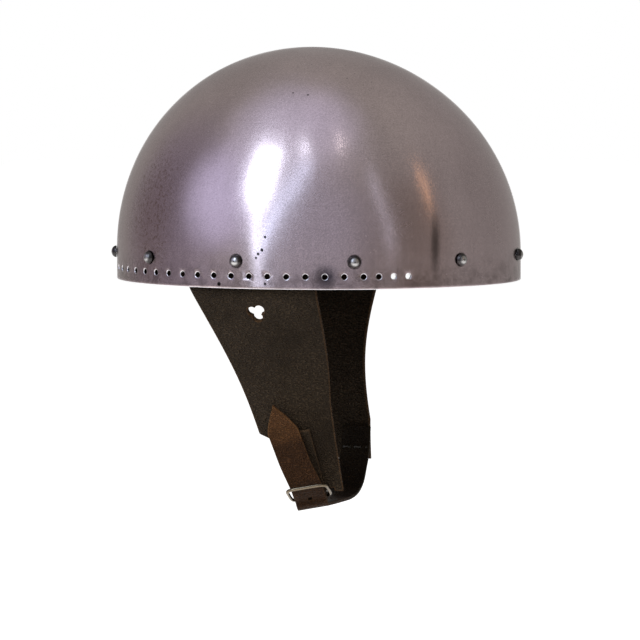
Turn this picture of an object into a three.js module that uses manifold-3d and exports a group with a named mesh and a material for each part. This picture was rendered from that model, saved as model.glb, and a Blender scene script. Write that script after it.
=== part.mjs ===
// Cervelliere: a close skull cap of steel with a row of dome rivets, a row of lacing holes
// for a mail curtain, a laced leather lining, two leather cheek flaps and a buckled chin strap.
// Millimetres. +Z is up, the face looks along -Y, the wearer's right side is -X.
// The origin is the centre of the rim's lower plane.
import * as THREE from 'three';
import { mergeVertices } from 'three/addons/utils/BufferGeometryUtils.js';
import Module from 'manifold-3d';

const wasm = await Module();
wasm.setup();

// Driving sizes.

// Clearances between pieces at rest, on a curved seat and round what swings, and how far a
// cutter reaches past what it cuts.
const gap = { rest: 0.3, curvedSeat: 0.6, swing: 1.3, overrun: 6 };
const tolerance = { weld: 1e-4, step: 1e-2, shareStep: 1e-3 };

const bowl = { length: 230, width: 204, height: 131, skirt: 16.5, wall: 2, crownSetBack: 4 };
const bowlFacets = { round: 60, crown: 12 };

// The row's last pitches beside the face are shorter than the others.
const lacing = {
  count: 48, radius: 1.5, height: 6.9, faceHalfAngle: 54.6, endPitches: 3, endPitchShare: 0.8, sides: 6,
};

const rivet = {
  height: 15, headRadius: 3.4, headHeight: 2.9, shankRadius: 1.6, holeRadius: 1.9,
  tailRadius: 2.6, tailHeight: 1.2, washerRadius: 4.5, washerThickness: 0.8, headRows: 3, sides: 10,
};
const tailFootShare = 0.7;
// Degrees back from the middle of the wearer's right side, the face being at +90.
const rivetAngles = [87, 53, 20, -12.7, -44.2, -79, -107.5, -136, -167.3, -200, -235];
const flapRivetAngle = -12.7;

const lining = {
  thickness: 2, bottom: 4, browBottom: 9.6, top: 38, tongues: 8, tongueThickness: 1.6, tongueOverlap: 4,
  crownDrop: 17, crownAngle: 76, laceAngle: 71, holeRadius: 3, holeSides: 8,
  pocketBlend: 3.6, pocketMarginFront: 2, pocketMarginBack: 4,
};
// Degrees towards the face between which the lining's lower edge rises over the brow.
const browAngles = { from: 25.5, to: 31.5 };
const tongueFacets = { across: 3, along: 7 };
const tongueShares = { base: 0.96, tip: 0.62, tipRounding: 0.12, tipCut: 0.9 };
const lace = { radius: 0.9, weave: 3.2, turn: 3.5, tail: 28, sides: 6, steps: 84 };

const flap = {
  thickness: 3, top: 25, length: 115.8, chinHalfWidth: 45, easing: 1.4, rimBend: 6, turnIn: 20,
  front: 18.3, frontReach: 4.7, back: 54.5, backHollow: 4, cornerBack: 21.8, cornerDrop: 83,
  stepBack: 14, stepDrop: 86.8, tailBack: 3, topFront: 10.2, topBack: 44, cornerRound: 10,
  notchUp: 3.9, notchClear: 1.4, leftShorter: 10.8,
};
// The front edge is hollowed from the rim down to a depth; the right one swells instead.
const rightFlap = { length: flap.length, frontHollow: -1.6, hollowDepth: 66 };
const leftFlap = { length: flap.length - flap.leftShorter, frontHollow: 5, hollowDepth: 85 };
const flapFacets = { across: 6, band: 4, cheek: 11, step: 1, tail: 4 };
const trefoil = { radius: 2.75, spacing: 4.1, back: 15.6, drop: 12.9, tilt: -18, sides: 12 };

const chape = { width: 17.4, thickness: 1.8, outerLength: 40, innerLength: 37, slotWidth: 3.4, slotUp: 16 };
const chapeFacets = { across: 2, along: 32 };
const chapeRivet = {
  headRadius: 3.2, headHeight: 1, shankRadius: 1.3, holeRadius: 1.6, lower: 24.2, upper: 33, sides: 10,
};
const headTopShare = 0.6;
const buckle = {
  back: -5.2, belowFlap: 4.4, slant: 10.5, wireRadius: 1.1, outerWidth: 24.4, reach: 18, lean: 58,
  cornerPower: 6, sides: 8, steps: 40,
};
const tongue = { wireRadius: 0.7, length: 19, lift: 7.4, sides: 6, eyeSteps: 18, steps: 8 };
const tongueLiftShare = 0.8;

const strap = {
  width: 17.6, thickness: 2, pointLength: 16, holeRadius: 1.3, holeSides: 10, holes: 5,
  firstHole: 59, holePitch: 15, slant: 8.5, straightUp: 8, tipUp: 57, overlap: 15, edgeMargin: 1,
  chinDip: 9.8, chinFace: 9.2, chinTurn: 2.7,
};
const strapFacets = { across: 2, along: 54, samples: 400 };
const strapShares = { pointPower: 1.25, pointEnd: 0.06 };
// The strap's way under the chin: towards the wearer's left as a share of half the chin's width,
// below the flaps' length as a share of the dip, and the share by which it has turned to the
// buckle's own slant.
const chinWayShares = [
  { left: 0.889, dip: -0.337, turn: 0 },
  { left: 0.744, dip: 0.388, turn: 0 },
  { left: 0.489, dip: 0.857, turn: 0 },
  { left: 0.133, dip: 1, turn: 0 },
  { left: -0.356, dip: 0.98, turn: 0.4 },
  { left: -0.711, dip: 0.96, turn: 0.8 },
];
// Degrees round the fold's outside.
const foldTurns = [0, 30, 60, 90];
// Up from the buckle's bar and out from the flap: inside the ring both are shares of the ring's
// reach, and over the flap the way up is a share of the point's.
const underRingShares = [{ up: 0.25, out: 0.5 }, { up: 0.583, out: 0.667 }];
const overFlapShares = [{ up: 0.421, out: 0.522 }, { up: 0.614, out: 0.383 }, { up: 0.807, out: 0.256 }];
const stitch = {
  radius: 0.45, pitch: 3.4, holes: 5, holeRadius: 0.95, up: 3, turn: 0.9, sides: 6, holeSides: 8,
  stepsPerHole: 12,
};

// Helpers.

const rad = THREE.MathUtils.degToRad;
const { lerp, smoothstep, clamp } = THREE.MathUtils;
const half = (value) => value / 2;
const v3 = (x, y, z) => new THREE.Vector3(x, y, z);
const axisY = v3(0, 1, 0);

// Joins equal corners and leaves out the slivers that a pole or a tip collapses to.
function weld(geometry) {
  geometry.deleteAttribute('normal');
  geometry.deleteAttribute('uv');
  const welded = mergeVertices(geometry, tolerance.weld);
  const kept = [];
  const order = welded.index.array;
  for (let i = 0; i < order.length; i += 3) {
    const [a, b, c] = [order[i], order[i + 1], order[i + 2]];
    if (a !== b && b !== c && c !== a) kept.push(a, b, c);
  }
  welded.setIndex(kept);
  return welded;
}

function volume(geometry) {
  const corner = [v3(0, 0, 0), v3(0, 0, 0), v3(0, 0, 0)];
  const { position } = geometry.attributes;
  let sum = 0;
  for (let i = 0; i < geometry.index.count; i += 3) {
    corner.forEach((point, k) => point.fromBufferAttribute(position, geometry.index.getX(i + k)));
    sum += corner[0].dot(corner[1].clone().cross(corner[2]));
  }
  return sum;
}

// A welded solid whose faces look outwards.
function solid(geometry) {
  const welded = weld(geometry);
  if (volume(welded) < 0) {
    const order = Array.from(welded.index.array);
    for (let i = 0; i < order.length; i += 3) [order[i], order[i + 1]] = [order[i + 1], order[i]];
    welded.setIndex(order);
  }
  return welded;
}

function toManifold(geometry) {
  return new wasm.Manifold(new wasm.Mesh({
    numProp: 3,
    vertProperties: new Float32Array(geometry.attributes.position.array),
    triVerts: new Uint32Array(geometry.index.array),
  }));
}

function fromManifold(body) {
  const mesh = body.getMesh();
  const geometry = new THREE.BufferGeometry();
  geometry.setAttribute('position', new THREE.BufferAttribute(new Float32Array(mesh.vertProperties), 3));
  geometry.setIndex(Array.from(mesh.triVerts));
  return geometry;
}

const cut = (body, cutters) => fromManifold(
  cutters.reduce((rest, cutter) => rest.subtract(toManifold(cutter)), toManifold(body)),
);
const join = (bodies) => fromManifold(
  bodies.slice(1).reduce((whole, body) => whole.add(toManifold(body)), toManifold(bodies[0])),
);

function moveVertices(geometry, place) {
  const { position } = geometry.attributes;
  const point = v3(0, 0, 0);
  for (let i = 0; i < position.count; i += 1) {
    place(point.fromBufferAttribute(position, i));
    position.setXYZ(i, point.x, point.y, point.z);
  }
  return geometry;
}

// The unit normal of a surface given over u and v from 0 to 1.
function normalAt(surface, u, v) {
  const step = tolerance.shareStep;
  const [u0, u1] = [Math.max(u - step, 0), Math.min(u + step, 1)];
  const [v0, v1] = [Math.max(v - step, 0), Math.min(v + step, 1)];
  const alongU = surface(u1, v).sub(surface(u0, v));
  const alongV = surface(u, v0).sub(surface(u, v1));
  return alongU.cross(alongV).normalize();
}

// A closed sheet: a box bent over a surface, with its thickness half to each side.
function sheet(surface, across, along, thickness) {
  const box = new THREE.BoxGeometry(1, 1, 1, across, along, 1);
  return solid(moveVertices(box, (point) => {
    const [u, v, w] = [point.x + half(1), half(1) - point.y, point.z];
    const offset = normalAt(surface, u, v).multiplyScalar(w * thickness);
    point.copy(surface(u, v)).add(offset);
  }));
}

// A round cutter through a wall, centred on a point and lying along a normal.
function drill(centre, normal, radius, reach, sides) {
  const cutter = new THREE.CylinderGeometry(radius, radius, reach * 2, sides);
  const turn = new THREE.Quaternion().setFromUnitVectors(axisY, normal);
  cutter.applyQuaternion(turn).translate(centre.x, centre.y, centre.z);
  return solid(cutter);
}

const turned = (profile, sides) => solid(new THREE.LatheGeometry(profile, sides));

// A round bar along a curve.
function bar(curve, radius, sides, steps) {
  const section = new THREE.Shape();
  for (let i = 0; i < sides; i += 1) {
    const angle = (i / sides) * Math.PI * 2;
    const [x, y] = [radius * Math.cos(angle), radius * Math.sin(angle)];
    if (i === 0) section.moveTo(x, y);
    else section.lineTo(x, y);
  }
  section.closePath();
  return solid(new THREE.ExtrudeGeometry(section, { steps, bevelEnabled: false, extrudePath: curve }));
}

const helmet = new THREE.Group();
helmet.name = 'cervelliere';

const finishes = {
  steel: { color: 0x8b848c, roughness: 0.28, metalness: 1 },
  rivetSteel: { color: 0x6f6a6c, roughness: 0.35, metalness: 1 },
  washerSteel: { color: 0x8a8a8a, roughness: 0.45, metalness: 1 },
  liningLeather: { color: 0x6b4a30, roughness: 0.85, metalness: 0 },
  flapLeather: { color: 0x2e2620, roughness: 0.7, metalness: 0 },
  strapLeather: { color: 0x4a3022, roughness: 0.55, metalness: 0 },
  laceLeather: { color: 0x5a3d28, roughness: 0.8, metalness: 0 },
  buckleSteel: { color: 0x9a958c, roughness: 0.3, metalness: 1 },
  thread: { color: 0x2a2420, roughness: 0.9, metalness: 0 },
};

function add(name, geometry, finish) {
  const mesh = new THREE.Mesh(geometry, new THREE.MeshStandardMaterial(finishes[finish]));
  mesh.name = name;
  helmet.add(mesh);
  return mesh;
}

// The bowl's form.

const crownRise = bowl.height - bowl.skirt;
const setBack = (z) => bowl.crownSetBack * Math.pow(Math.max(z, 0) / bowl.height, 2);

// A point inset from the bowl's outer face. The angle runs round the plan from the wearer's
// left side by way of the back, and the rise runs from the skirt's top to the crown.
function crownPoint(angle, rise, inset) {
  const level = Math.cos(rise);
  const z = bowl.skirt + (crownRise - inset) * Math.sin(rise);
  return v3(
    (half(bowl.width) - inset) * level * Math.cos(angle),
    (half(bowl.length) - inset) * level * Math.sin(angle) + setBack(z),
    z,
  );
}
function wallPoint(angle, z, inset) {
  const rise = Math.asin(clamp((z - bowl.skirt) / (crownRise - inset), 0, 1));
  const point = crownPoint(angle, rise, inset);
  return v3(point.x, point.y, z);
}
const planNormal = (point) => v3(
  point.x / half(bowl.width) ** 2,
  point.y / half(bowl.length) ** 2,
  0,
).normalize();

// A solid dome: a straight skirt under a round crown, stretched to the head's oval plan.
function dome(inset, floor) {
  const [length, width, rise] = [half(bowl.length) - inset, half(bowl.width) - inset, crownRise - inset];
  const profile = [new THREE.Vector2(0, floor), new THREE.Vector2(length, floor)];
  for (let i = 0; i <= bowlFacets.crown; i += 1) {
    const angle = (i / bowlFacets.crown) * half(Math.PI);
    const radius = i === bowlFacets.crown ? 0 : length * Math.cos(angle);
    profile.push(new THREE.Vector2(radius, bowl.skirt + rise * Math.sin(angle)));
  }
  const lathe = new THREE.LatheGeometry(profile, bowlFacets.round);
  lathe.rotateX(half(Math.PI)).scale(width / length, 1, 1);
  return solid(moveVertices(lathe, (point) => { point.y += setBack(point.z); }));
}

const lacingArc = new THREE.EllipseCurve(
  0, 0, half(bowl.width), half(bowl.length),
  -rad(90 - lacing.faceHalfAngle), rad(270 - lacing.faceHalfAngle),
);
const lacingPitches = Array.from({ length: lacing.count - 1 }, (_, i) => (
  Math.min(i, lacing.count - 2 - i) < lacing.endPitches ? lacing.endPitchShare : 1));
const sum = (values) => values.reduce((total, value) => total + value, 0);
const lacingHoles = Array.from({ length: lacing.count }, (_, i) => {
  const plan = lacingArc.getPointAt(sum(lacingPitches.slice(0, i)) / sum(lacingPitches));
  const point = v3(plan.x, plan.y, lacing.height);
  return drill(point, planNormal(point), lacing.radius, gap.overrun, lacing.sides);
});

const planAngle = (sideAngle) => rad(sideAngle) + Math.PI;
const rivetSeats = rivetAngles.map((sideAngle) => {
  const angle = planAngle(sideAngle);
  const seat = wallPoint(angle, rivet.height, 0);
  return { angle, seat, normal: planNormal(seat) };
});
const rivetHoles = rivetSeats.map(({ seat, normal }) => (
  drill(seat, normal, rivet.holeRadius, gap.overrun, rivet.sides)));

const bowlInside = dome(bowl.wall, -gap.overrun);
add('helmet_bowl', cut(dome(0, 0), [bowlInside, ...lacingHoles, ...rivetHoles]), 'steel');

// The lining.

// The flaps hang between the bowl and the lining, which stands off there to let them swing.
const plainInset = bowl.wall + gap.rest;
const flapInset = bowl.wall + gap.swing + half(flap.thickness);
const pocketInset = bowl.wall + flap.thickness + gap.swing * 2;
const angleOnSide = (y) => Math.asin(y / half(bowl.length));
const pocketBack = angleOnSide(flap.back) + rad(lining.pocketMarginBack);
const pocketFront = angleOnSide(-flap.front) - rad(lining.pocketMarginFront);
function liningInset(angle) {
  const side = Math.asin(clamp(Math.sin(angle), -1, 1));
  const past = Math.max(side - pocketBack, pocketFront - side, 0);
  return lerp(pocketInset, plainInset, smoothstep(past, 0, rad(lining.pocketBlend)));
}

function liningBottom(angle) {
  const side = Math.asin(clamp(-Math.sin(angle), -1, 1));
  const share = smoothstep(side, rad(browAngles.from), rad(browAngles.to));
  return lerp(lining.bottom, lining.browBottom, share);
}

function liningBand() {
  const profile = [
    [0, lining.bottom], [1, lining.bottom], [1, bowl.skirt], [1, lining.top],
    [0, lining.top], [0, bowl.skirt], [0, lining.bottom],
  ].map(([face, z]) => new THREE.Vector2(1 + face, z));
  const lathe = new THREE.LatheGeometry(profile, bowlFacets.round).rotateX(half(Math.PI));
  return solid(moveVertices(lathe, (point) => {
    const face = Math.hypot(point.x, point.y) - 1;
    const angle = Math.atan2(point.y, point.x);
    const inset = liningInset(angle) + (1 - face) * lining.thickness;
    const lowShare = clamp((bowl.skirt - point.z) / (bowl.skirt - lining.bottom), 0, 1);
    const z = point.z + lowShare * (liningBottom(angle) - lining.bottom);
    point.copy(wallPoint(angle, z, inset));
  }));
}

const bandMiddle = half(lining.thickness);
const tongueFoot = Math.asin((lining.top - lining.tongueOverlap - bowl.skirt) / (crownRise - plainInset));
function tonguePoint(middle, u, v) {
  const taper = lerp(tongueShares.base, tongueShares.tip, v);
  const nearTip = clamp((v - 1) / tongueShares.tipRounding + 1, 0, tongueShares.tipCut);
  const rounding = Math.sqrt(1 - nearTip * nearTip);
  const angle = middle + (u - half(1)) * taper * rounding * ((Math.PI * 2) / lining.tongues);
  const inset = lerp(liningInset(angle), plainInset, smoothstep(v, 0, half(1)))
    + bandMiddle + lining.crownDrop * v * v;
  return crownPoint(angle, lerp(tongueFoot, rad(lining.crownAngle), v), inset);
}
const laceShare = (rad(lining.laceAngle) - tongueFoot) / (rad(lining.crownAngle) - tongueFoot);
const tongueMiddles = Array.from({ length: lining.tongues }, (_, i) => (
  ((i + half(1)) / lining.tongues) * Math.PI * 2));
const tongueHoles = [];
const tongues = tongueMiddles.map((middle) => {
  const surface = (u, v) => tonguePoint(middle, u, v);
  const centre = surface(half(1), laceShare);
  const normal = normalAt(surface, half(1), laceShare);
  tongueHoles.push({ centre, normal });
  return sheet(surface, tongueFacets.across, tongueFacets.along, lining.tongueThickness);
});
const laceCutters = tongueHoles.map(({ centre, normal }) => (
  drill(centre, normal, lining.holeRadius, lining.thickness * 2, lining.holeSides)));
const liningHoles = rivetSeats.map(({ seat, normal }) => (
  drill(seat, normal, rivet.holeRadius, pocketInset + gap.overrun, lining.holeSides)));
add('liner', cut(join([liningBand(), ...tongues]), [...laceCutters, ...liningHoles]), 'liningLeather');

// The lace weaves in and out of the tongues' tips and its two ends hang inside the crown.
function lacePath() {
  const points = [];
  const ring = tongueHoles.map(({ centre, normal }) => ({ centre, outward: normal.clone() }));
  ring.forEach(({ centre, outward }) => {
    if (outward.z < 0) outward.negate();
    outward.normalize();
  });
  ring.forEach(({ centre, outward }, i) => {
    points.push(centre.clone());
    if (i === ring.length - 1) return;
    const next = ring[i + 1];
    const lift = (i % 2 === 0 ? 1 : -1) * lace.weave;
    const ahead = next.centre.clone().sub(centre).setLength(lace.turn);
    points.push(centre.clone().add(ahead).addScaledVector(outward, lift));
    points.push(next.centre.clone().sub(ahead).addScaledVector(next.outward, lift));
  });
  const [first, last] = [ring[0], ring[ring.length - 1]];
  const tail = (end, other) => {
    const toOther = other.centre.clone().sub(end.centre).setLength(lace.turn);
    const start = end.centre.clone().add(toOther).addScaledVector(end.outward, -lace.weave);
    const drop = start.clone().add(toOther).add(v3(0, 0, -lace.tail));
    return [start, start.clone().lerp(drop, half(1)), drop];
  };
  return new THREE.CatmullRomCurve3([
    ...tail(first, last).reverse(), ...points, ...tail(last, first),
  ], false, 'centripetal');
}
add('liner_lace', bar(lacePath(), lace.radius, lace.sides, lace.steps), 'laceLeather');

// The bowl's rivets and their washers.

rivetSeats.forEach(({ angle: planAt, seat, normal }, i) => {
  const liningFace = liningInset(planAt) + lining.thickness;
  const washerTop = -(liningFace + gap.curvedSeat);
  const washerFoot = washerTop - rivet.washerThickness;
  const tailTop = washerFoot - gap.rest;
  const tailFoot = tailTop - rivet.tailHeight;
  const number = String(i + 1).padStart(2, '0');
  const rivetProfile = [
    [0, tailFoot], [rivet.tailRadius * tailFootShare, tailFoot],
    [rivet.tailRadius, half(tailFoot + tailTop)], [rivet.tailRadius, tailTop],
    [rivet.shankRadius, tailTop], [rivet.shankRadius, gap.rest], [rivet.headRadius, gap.rest],
  ].map(([r, h]) => new THREE.Vector2(r, h));
  for (let k = 1; k <= rivet.headRows; k += 1) {
    const angle = (k / rivet.headRows) * half(Math.PI);
    const r = k === rivet.headRows ? 0 : rivet.headRadius * Math.cos(angle);
    rivetProfile.push(new THREE.Vector2(r, gap.rest + rivet.headHeight * Math.sin(angle)));
  }
  const washerProfile = [
    [rivet.holeRadius, washerFoot], [rivet.washerRadius, washerFoot],
    [rivet.washerRadius, washerTop], [rivet.holeRadius, washerTop], [rivet.holeRadius, washerFoot],
  ].map(([r, h]) => new THREE.Vector2(r, h));
  const pieces = [
    add(`rivet_${number}`, turned(rivetProfile, rivet.sides), 'rivetSteel'),
    add(`rivet_washer_${number}`, turned(washerProfile, rivet.sides), 'washerSteel'),
  ];
  pieces.forEach((piece) => {
    piece.position.copy(seat);
    piece.quaternion.setFromUnitVectors(axisY, normal);
  });
});

// The cheek flaps.

// Half the distance between the flaps' middles, and how far back their bend is centred,
// by the drop below the rim. The leather leaves the rim upright and eases in to the chin.
function flapHang(drop) {
  const fallen = Math.max(drop, 0);
  const eased = clamp((fallen * fallen) / (fallen + flap.rimBend) / flap.length, 0, 1);
  const top = half(bowl.width) - flapInset;
  return {
    out: flap.chinHalfWidth + (top - flap.chinHalfWidth) * Math.pow(1 - eased, flap.easing),
    centre: flap.turnIn * smoothstep(fallen, 0, half(flap.length)),
  };
}
const flapReach = half(bowl.length) - flapInset;
function flapX(y, drop) {
  const { out, centre } = flapHang(drop);
  const level = drop < 0 ? wallPoint(0, -drop, flapInset).x / (half(bowl.width) - flapInset) : 1;
  return -out * level * Math.sqrt(1 - ((y - centre) / (flapReach * level)) ** 2);
}

// The near flap's middle surface, and points that stand out from it, by place and drop.
const onFlap = (y, drop) => v3(flapX(y, drop), y, -drop);
function offFlap(y, drop, out) {
  const { step } = tolerance;
  const alongY = onFlap(y - step, drop).sub(onFlap(y + step, drop));
  const alongZ = onFlap(y, drop - step).sub(onFlap(y, drop + step));
  return onFlap(y, drop).addScaledVector(alongY.cross(alongZ).normalize(), out);
}

// How far a top corner is rounded off, from none to all, by the height above the rim.
const topRounding = (height) => (
  clamp((height - flap.top + flap.cornerRound) / flap.cornerRound, 0, 1) ** 2);
function flapFront(drop, form) {
  if (drop < 0) return lerp(-flap.front, -flap.topFront, topRounding(-drop));
  const hollow = form.frontHollow * Math.sin(clamp(drop / form.hollowDepth, 0, 1) * Math.PI);
  return hollow - flap.front - flap.frontReach * Math.pow(drop / flap.length, 3);
}
function flapBack(drop) {
  if (drop < 0) return lerp(flap.back, flap.topBack, topRounding(-drop));
  const { cornerDrop, cornerBack, stepDrop, stepBack } = flap;
  if (drop < cornerDrop) {
    const share = drop / cornerDrop;
    return lerp(flap.back, cornerBack, share) - flap.backHollow * Math.sin(share * Math.PI);
  }
  if (drop < stepDrop) return lerp(cornerBack, stepBack, (drop - cornerDrop) / (stepDrop - cornerDrop));
  return lerp(stepBack, flap.tailBack, (drop - stepDrop) / (flap.length - stepDrop));
}
// The drops of the rows that the flap is laid out in: the band in the bowl, the cheek, the
// short step at the corner and the tail that carries the buckle or the strap.
function flapRows(length) {
  const rows = [];
  const run = (from, to, count) => {
    for (let i = 0; i < count; i += 1) rows.push(lerp(from, to, i / count));
  };
  run(-flap.top, 0, flapFacets.band);
  run(0, flap.cornerDrop, flapFacets.cheek);
  run(flap.cornerDrop, flap.stepDrop, flapFacets.step);
  run(flap.stepDrop, length, flapFacets.tail);
  rows.push(length);
  return rows;
}
function flapSheet(form) {
  const rows = flapRows(form.length);
  const last = rows.length - 1;
  const surface = (u, v) => {
    const i = Math.min(Math.floor(v * last), last - 1);
    const drop = lerp(rows[i], rows[i + 1], v * last - i);
    return onFlap(lerp(flapBack(drop), flapFront(drop, form), u), drop);
  };
  return sheet(surface, flapFacets.across, last, flap.thickness);
}
const mirror = (geometry) => (
  solid(geometry.clone().applyMatrix4(new THREE.Matrix4().makeScale(-1, 1, 1))));

const trefoilHoles = [0, 1, 2].map((i) => {
  const angle = rad(trefoil.tilt + 180 + i * 120);
  const radius = trefoil.spacing / Math.sqrt(3);
  const y = trefoil.back + radius * -Math.cos(angle);
  const drop = trefoil.drop - radius * Math.sin(angle);
  const out = offFlap(y, drop, 1).sub(onFlap(y, drop));
  return drill(onFlap(y, drop), out, trefoil.radius, gap.overrun, trefoil.sides);
});
const flapSeat = rivetSeats[rivetAngles.indexOf(flapRivetAngle)];
const flapRivetHole = drill(
  flapSeat.seat, flapSeat.normal, rivet.holeRadius, pocketInset + gap.overrun, rivet.sides);

// The buckle's own space.

// Distances along the buckle's bar towards the face, up the chape and out from the flap.
const slantY = Math.sin(rad(buckle.slant));
const slantZ = Math.cos(rad(buckle.slant));
function atBuckle(along, up, out) {
  const y = buckle.back - along * slantZ + up * slantY;
  const drop = flap.length + buckle.belowFlap - along * slantY - up * slantZ;
  return offFlap(y, drop, out);
}
const pinCentre = atBuckle(0, 0, 0);
const pinAxis = atBuckle(1, 0, 0).sub(atBuckle(-1, 0, 0)).normalize();
const outAxis = atBuckle(0, 0, 1).sub(pinCentre).normalize();
const upAxis = outAxis.clone().cross(pinAxis).normalize();
const fromPin = (along, up, out) => pinCentre.clone()
  .addScaledVector(pinAxis, along).addScaledVector(upAxis, up).addScaledVector(outAxis, out);

// The chape.

const chapeOut = half(flap.thickness) + gap.rest + half(chape.thickness);
const chapeFold = Math.PI * chapeOut;
const chapePath = chape.outerLength + chapeFold + chape.innerLength;
function chapePoint(u, v) {
  const along = (half(1) - u) * chape.width;
  const run = v * chapePath;
  if (run < chape.outerLength) return atBuckle(along, chape.outerLength - run, chapeOut);
  if (run > chape.outerLength + chapeFold) {
    return atBuckle(along, run - chape.outerLength - chapeFold, -chapeOut);
  }
  const angle = (run - chape.outerLength) / chapeOut;
  return atBuckle(along, -chapeOut * Math.sin(angle), chapeOut * Math.cos(angle));
}
// The fold is slotted for the tongue: all round the pin, and further up the outer layer.
const tongueEye = buckle.wireRadius + gap.rest + tongue.wireRadius;
const slotEnd = tongueEye + tongue.wireRadius + gap.rest;
function slotCutter(up, innerOut) {
  const outer = chapeOut + chape.thickness + gap.overrun;
  const [low, high] = [-chapeOut - chape.thickness, up];
  const box = new THREE.BoxGeometry(chape.slotWidth, high - low, outer - innerOut);
  const frame = new THREE.Matrix4().makeBasis(pinAxis, upAxis, outAxis);
  frame.setPosition(fromPin(0, half(low + high), half(outer + innerOut)));
  return solid(box.applyMatrix4(frame));
}
const chapeSlot = [slotCutter(slotEnd, -chapeOut - chape.thickness), slotCutter(chape.slotUp, 0)];
const chapeRivets = [chapeRivet.lower, chapeRivet.upper].map((up) => ({
  centre: atBuckle(0, up, 0),
  normal: atBuckle(0, up, 1).sub(atBuckle(0, up, 0)).normalize(),
}));
const chapeRivetHoles = chapeRivets.map(({ centre, normal }) => (
  drill(centre, normal, chapeRivet.holeRadius, gap.overrun + chapeOut, chapeRivet.sides)));
const chapeSheet = sheet(chapePoint, chapeFacets.across, chapeFacets.along, chape.thickness);
add('buckle_chape', cut(chapeSheet, [...chapeSlot, ...chapeRivetHoles]), 'flapLeather');

const chapeFace = chapeOut + half(chape.thickness) + gap.rest;
chapeRivets.forEach(({ centre, normal }, i) => {
  const head = chapeFace + chapeRivet.headHeight;
  const shoulder = half(chapeFace + head);
  const profile = [
    [0, -head], [chapeRivet.headRadius * headTopShare, -head], [chapeRivet.headRadius, -shoulder],
    [chapeRivet.headRadius, -chapeFace], [chapeRivet.shankRadius, -chapeFace],
    [chapeRivet.shankRadius, chapeFace], [chapeRivet.headRadius, chapeFace],
    [chapeRivet.headRadius, shoulder], [chapeRivet.headRadius * headTopShare, head], [0, head],
  ].map(([r, h]) => new THREE.Vector2(r, h));
  const place = ['lower', 'upper'][i];
  const piece = add(`chape_rivet_${place}`, turned(profile, chapeRivet.sides), 'rivetSteel');
  piece.position.copy(centre);
  piece.quaternion.setFromUnitVectors(axisY, normal);
});

// The flaps themselves.

// Its tail is cut back square to the buckle, but for the corner in front of the ring.
function tailNotch() {
  const [front, back] = [half(buckle.outerWidth) + flap.notchClear, -flap.back];
  const [top, foot] = [flap.notchUp, -flap.back];
  const box = new THREE.BoxGeometry(front - back, top - foot, gap.overrun * 2);
  const frame = new THREE.Matrix4().makeBasis(pinAxis, upAxis, outAxis);
  frame.setPosition(fromPin(half(front + back), half(top + foot), 0));
  return solid(box.applyMatrix4(frame));
}
add('cheek_flap_right', cut(
  flapSheet(rightFlap),
  [...trefoilHoles, flapRivetHole, ...chapeRivetHoles, tailNotch()],
), 'flapLeather');

// The buckle frame and tongue.

// A wire ring bent square, hinged on the side that lies in the chape's fold.
function buckleFrame() {
  const { wireRadius, reach } = buckle;
  const [wide, tall] = [half(buckle.outerWidth) - wireRadius, half(reach)];
  const tube = wireRadius / reach;
  const torus = new THREE.TorusGeometry(1, tube, buckle.sides, buckle.steps);
  const squared = (value) => {
    if (Math.abs(value) < tolerance.weld) return 0;
    return Math.sign(value) * Math.pow(Math.abs(value), 2 / buckle.cornerPower);
  };
  const outline = (angle) => (
    new THREE.Vector2(wide * squared(Math.cos(angle)), tall * squared(Math.sin(angle))));
  const lean = rad(buckle.lean);
  return solid(moveVertices(torus, (point) => {
    const angle = Math.atan2(point.y, point.x);
    const step = tolerance.shareStep;
    const ahead = outline(angle + step).sub(outline(angle - step)).normalize();
    const outward = ((Math.hypot(point.x, point.y) - 1) / tube) * wireRadius;
    const across = (point.z / tube) * wireRadius;
    const inPlane = new THREE.Vector2(ahead.y, -ahead.x).multiplyScalar(outward).add(outline(angle));
    const rise = tall + inPlane.y;
    point.copy(fromPin(
      inPlane.x,
      rise * Math.cos(lean) - across * Math.sin(lean),
      rise * Math.sin(lean) + across * Math.cos(lean),
    ));
  }));
}
add('buckle_frame', buckleFrame(), 'buckleSteel');

function buckleTongue() {
  const ring = new THREE.TorusGeometry(tongueEye, tongue.wireRadius, tongue.sides, tongue.eyeSteps);
  const frame = new THREE.Matrix4().makeBasis(upAxis, outAxis, pinAxis).setPosition(pinCentre);
  const curve = new THREE.QuadraticBezierCurve3(
    fromPin(0, 0, tongueEye),
    fromPin(0, half(tongue.length), lerp(tongueEye, tongue.lift, tongueLiftShare)),
    fromPin(0, tongue.length, tongue.lift),
  );
  return join([solid(ring.applyMatrix4(frame)), bar(curve, tongue.wireRadius, tongue.sides, tongue.steps)]);
}
add('buckle_tongue', buckleTongue(), 'buckleSteel');

// The left flap and the chin strap.

const strapOffset = half(flap.thickness) + gap.rest + half(strap.thickness);
function leftInside(y, drop, inward) {
  const point = offFlap(y, drop, -inward);
  return v3(-point.x, point.y, point.z);
}
const sewnY = half(strap.width) + strap.edgeMargin - flap.front - flap.frontReach;

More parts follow.
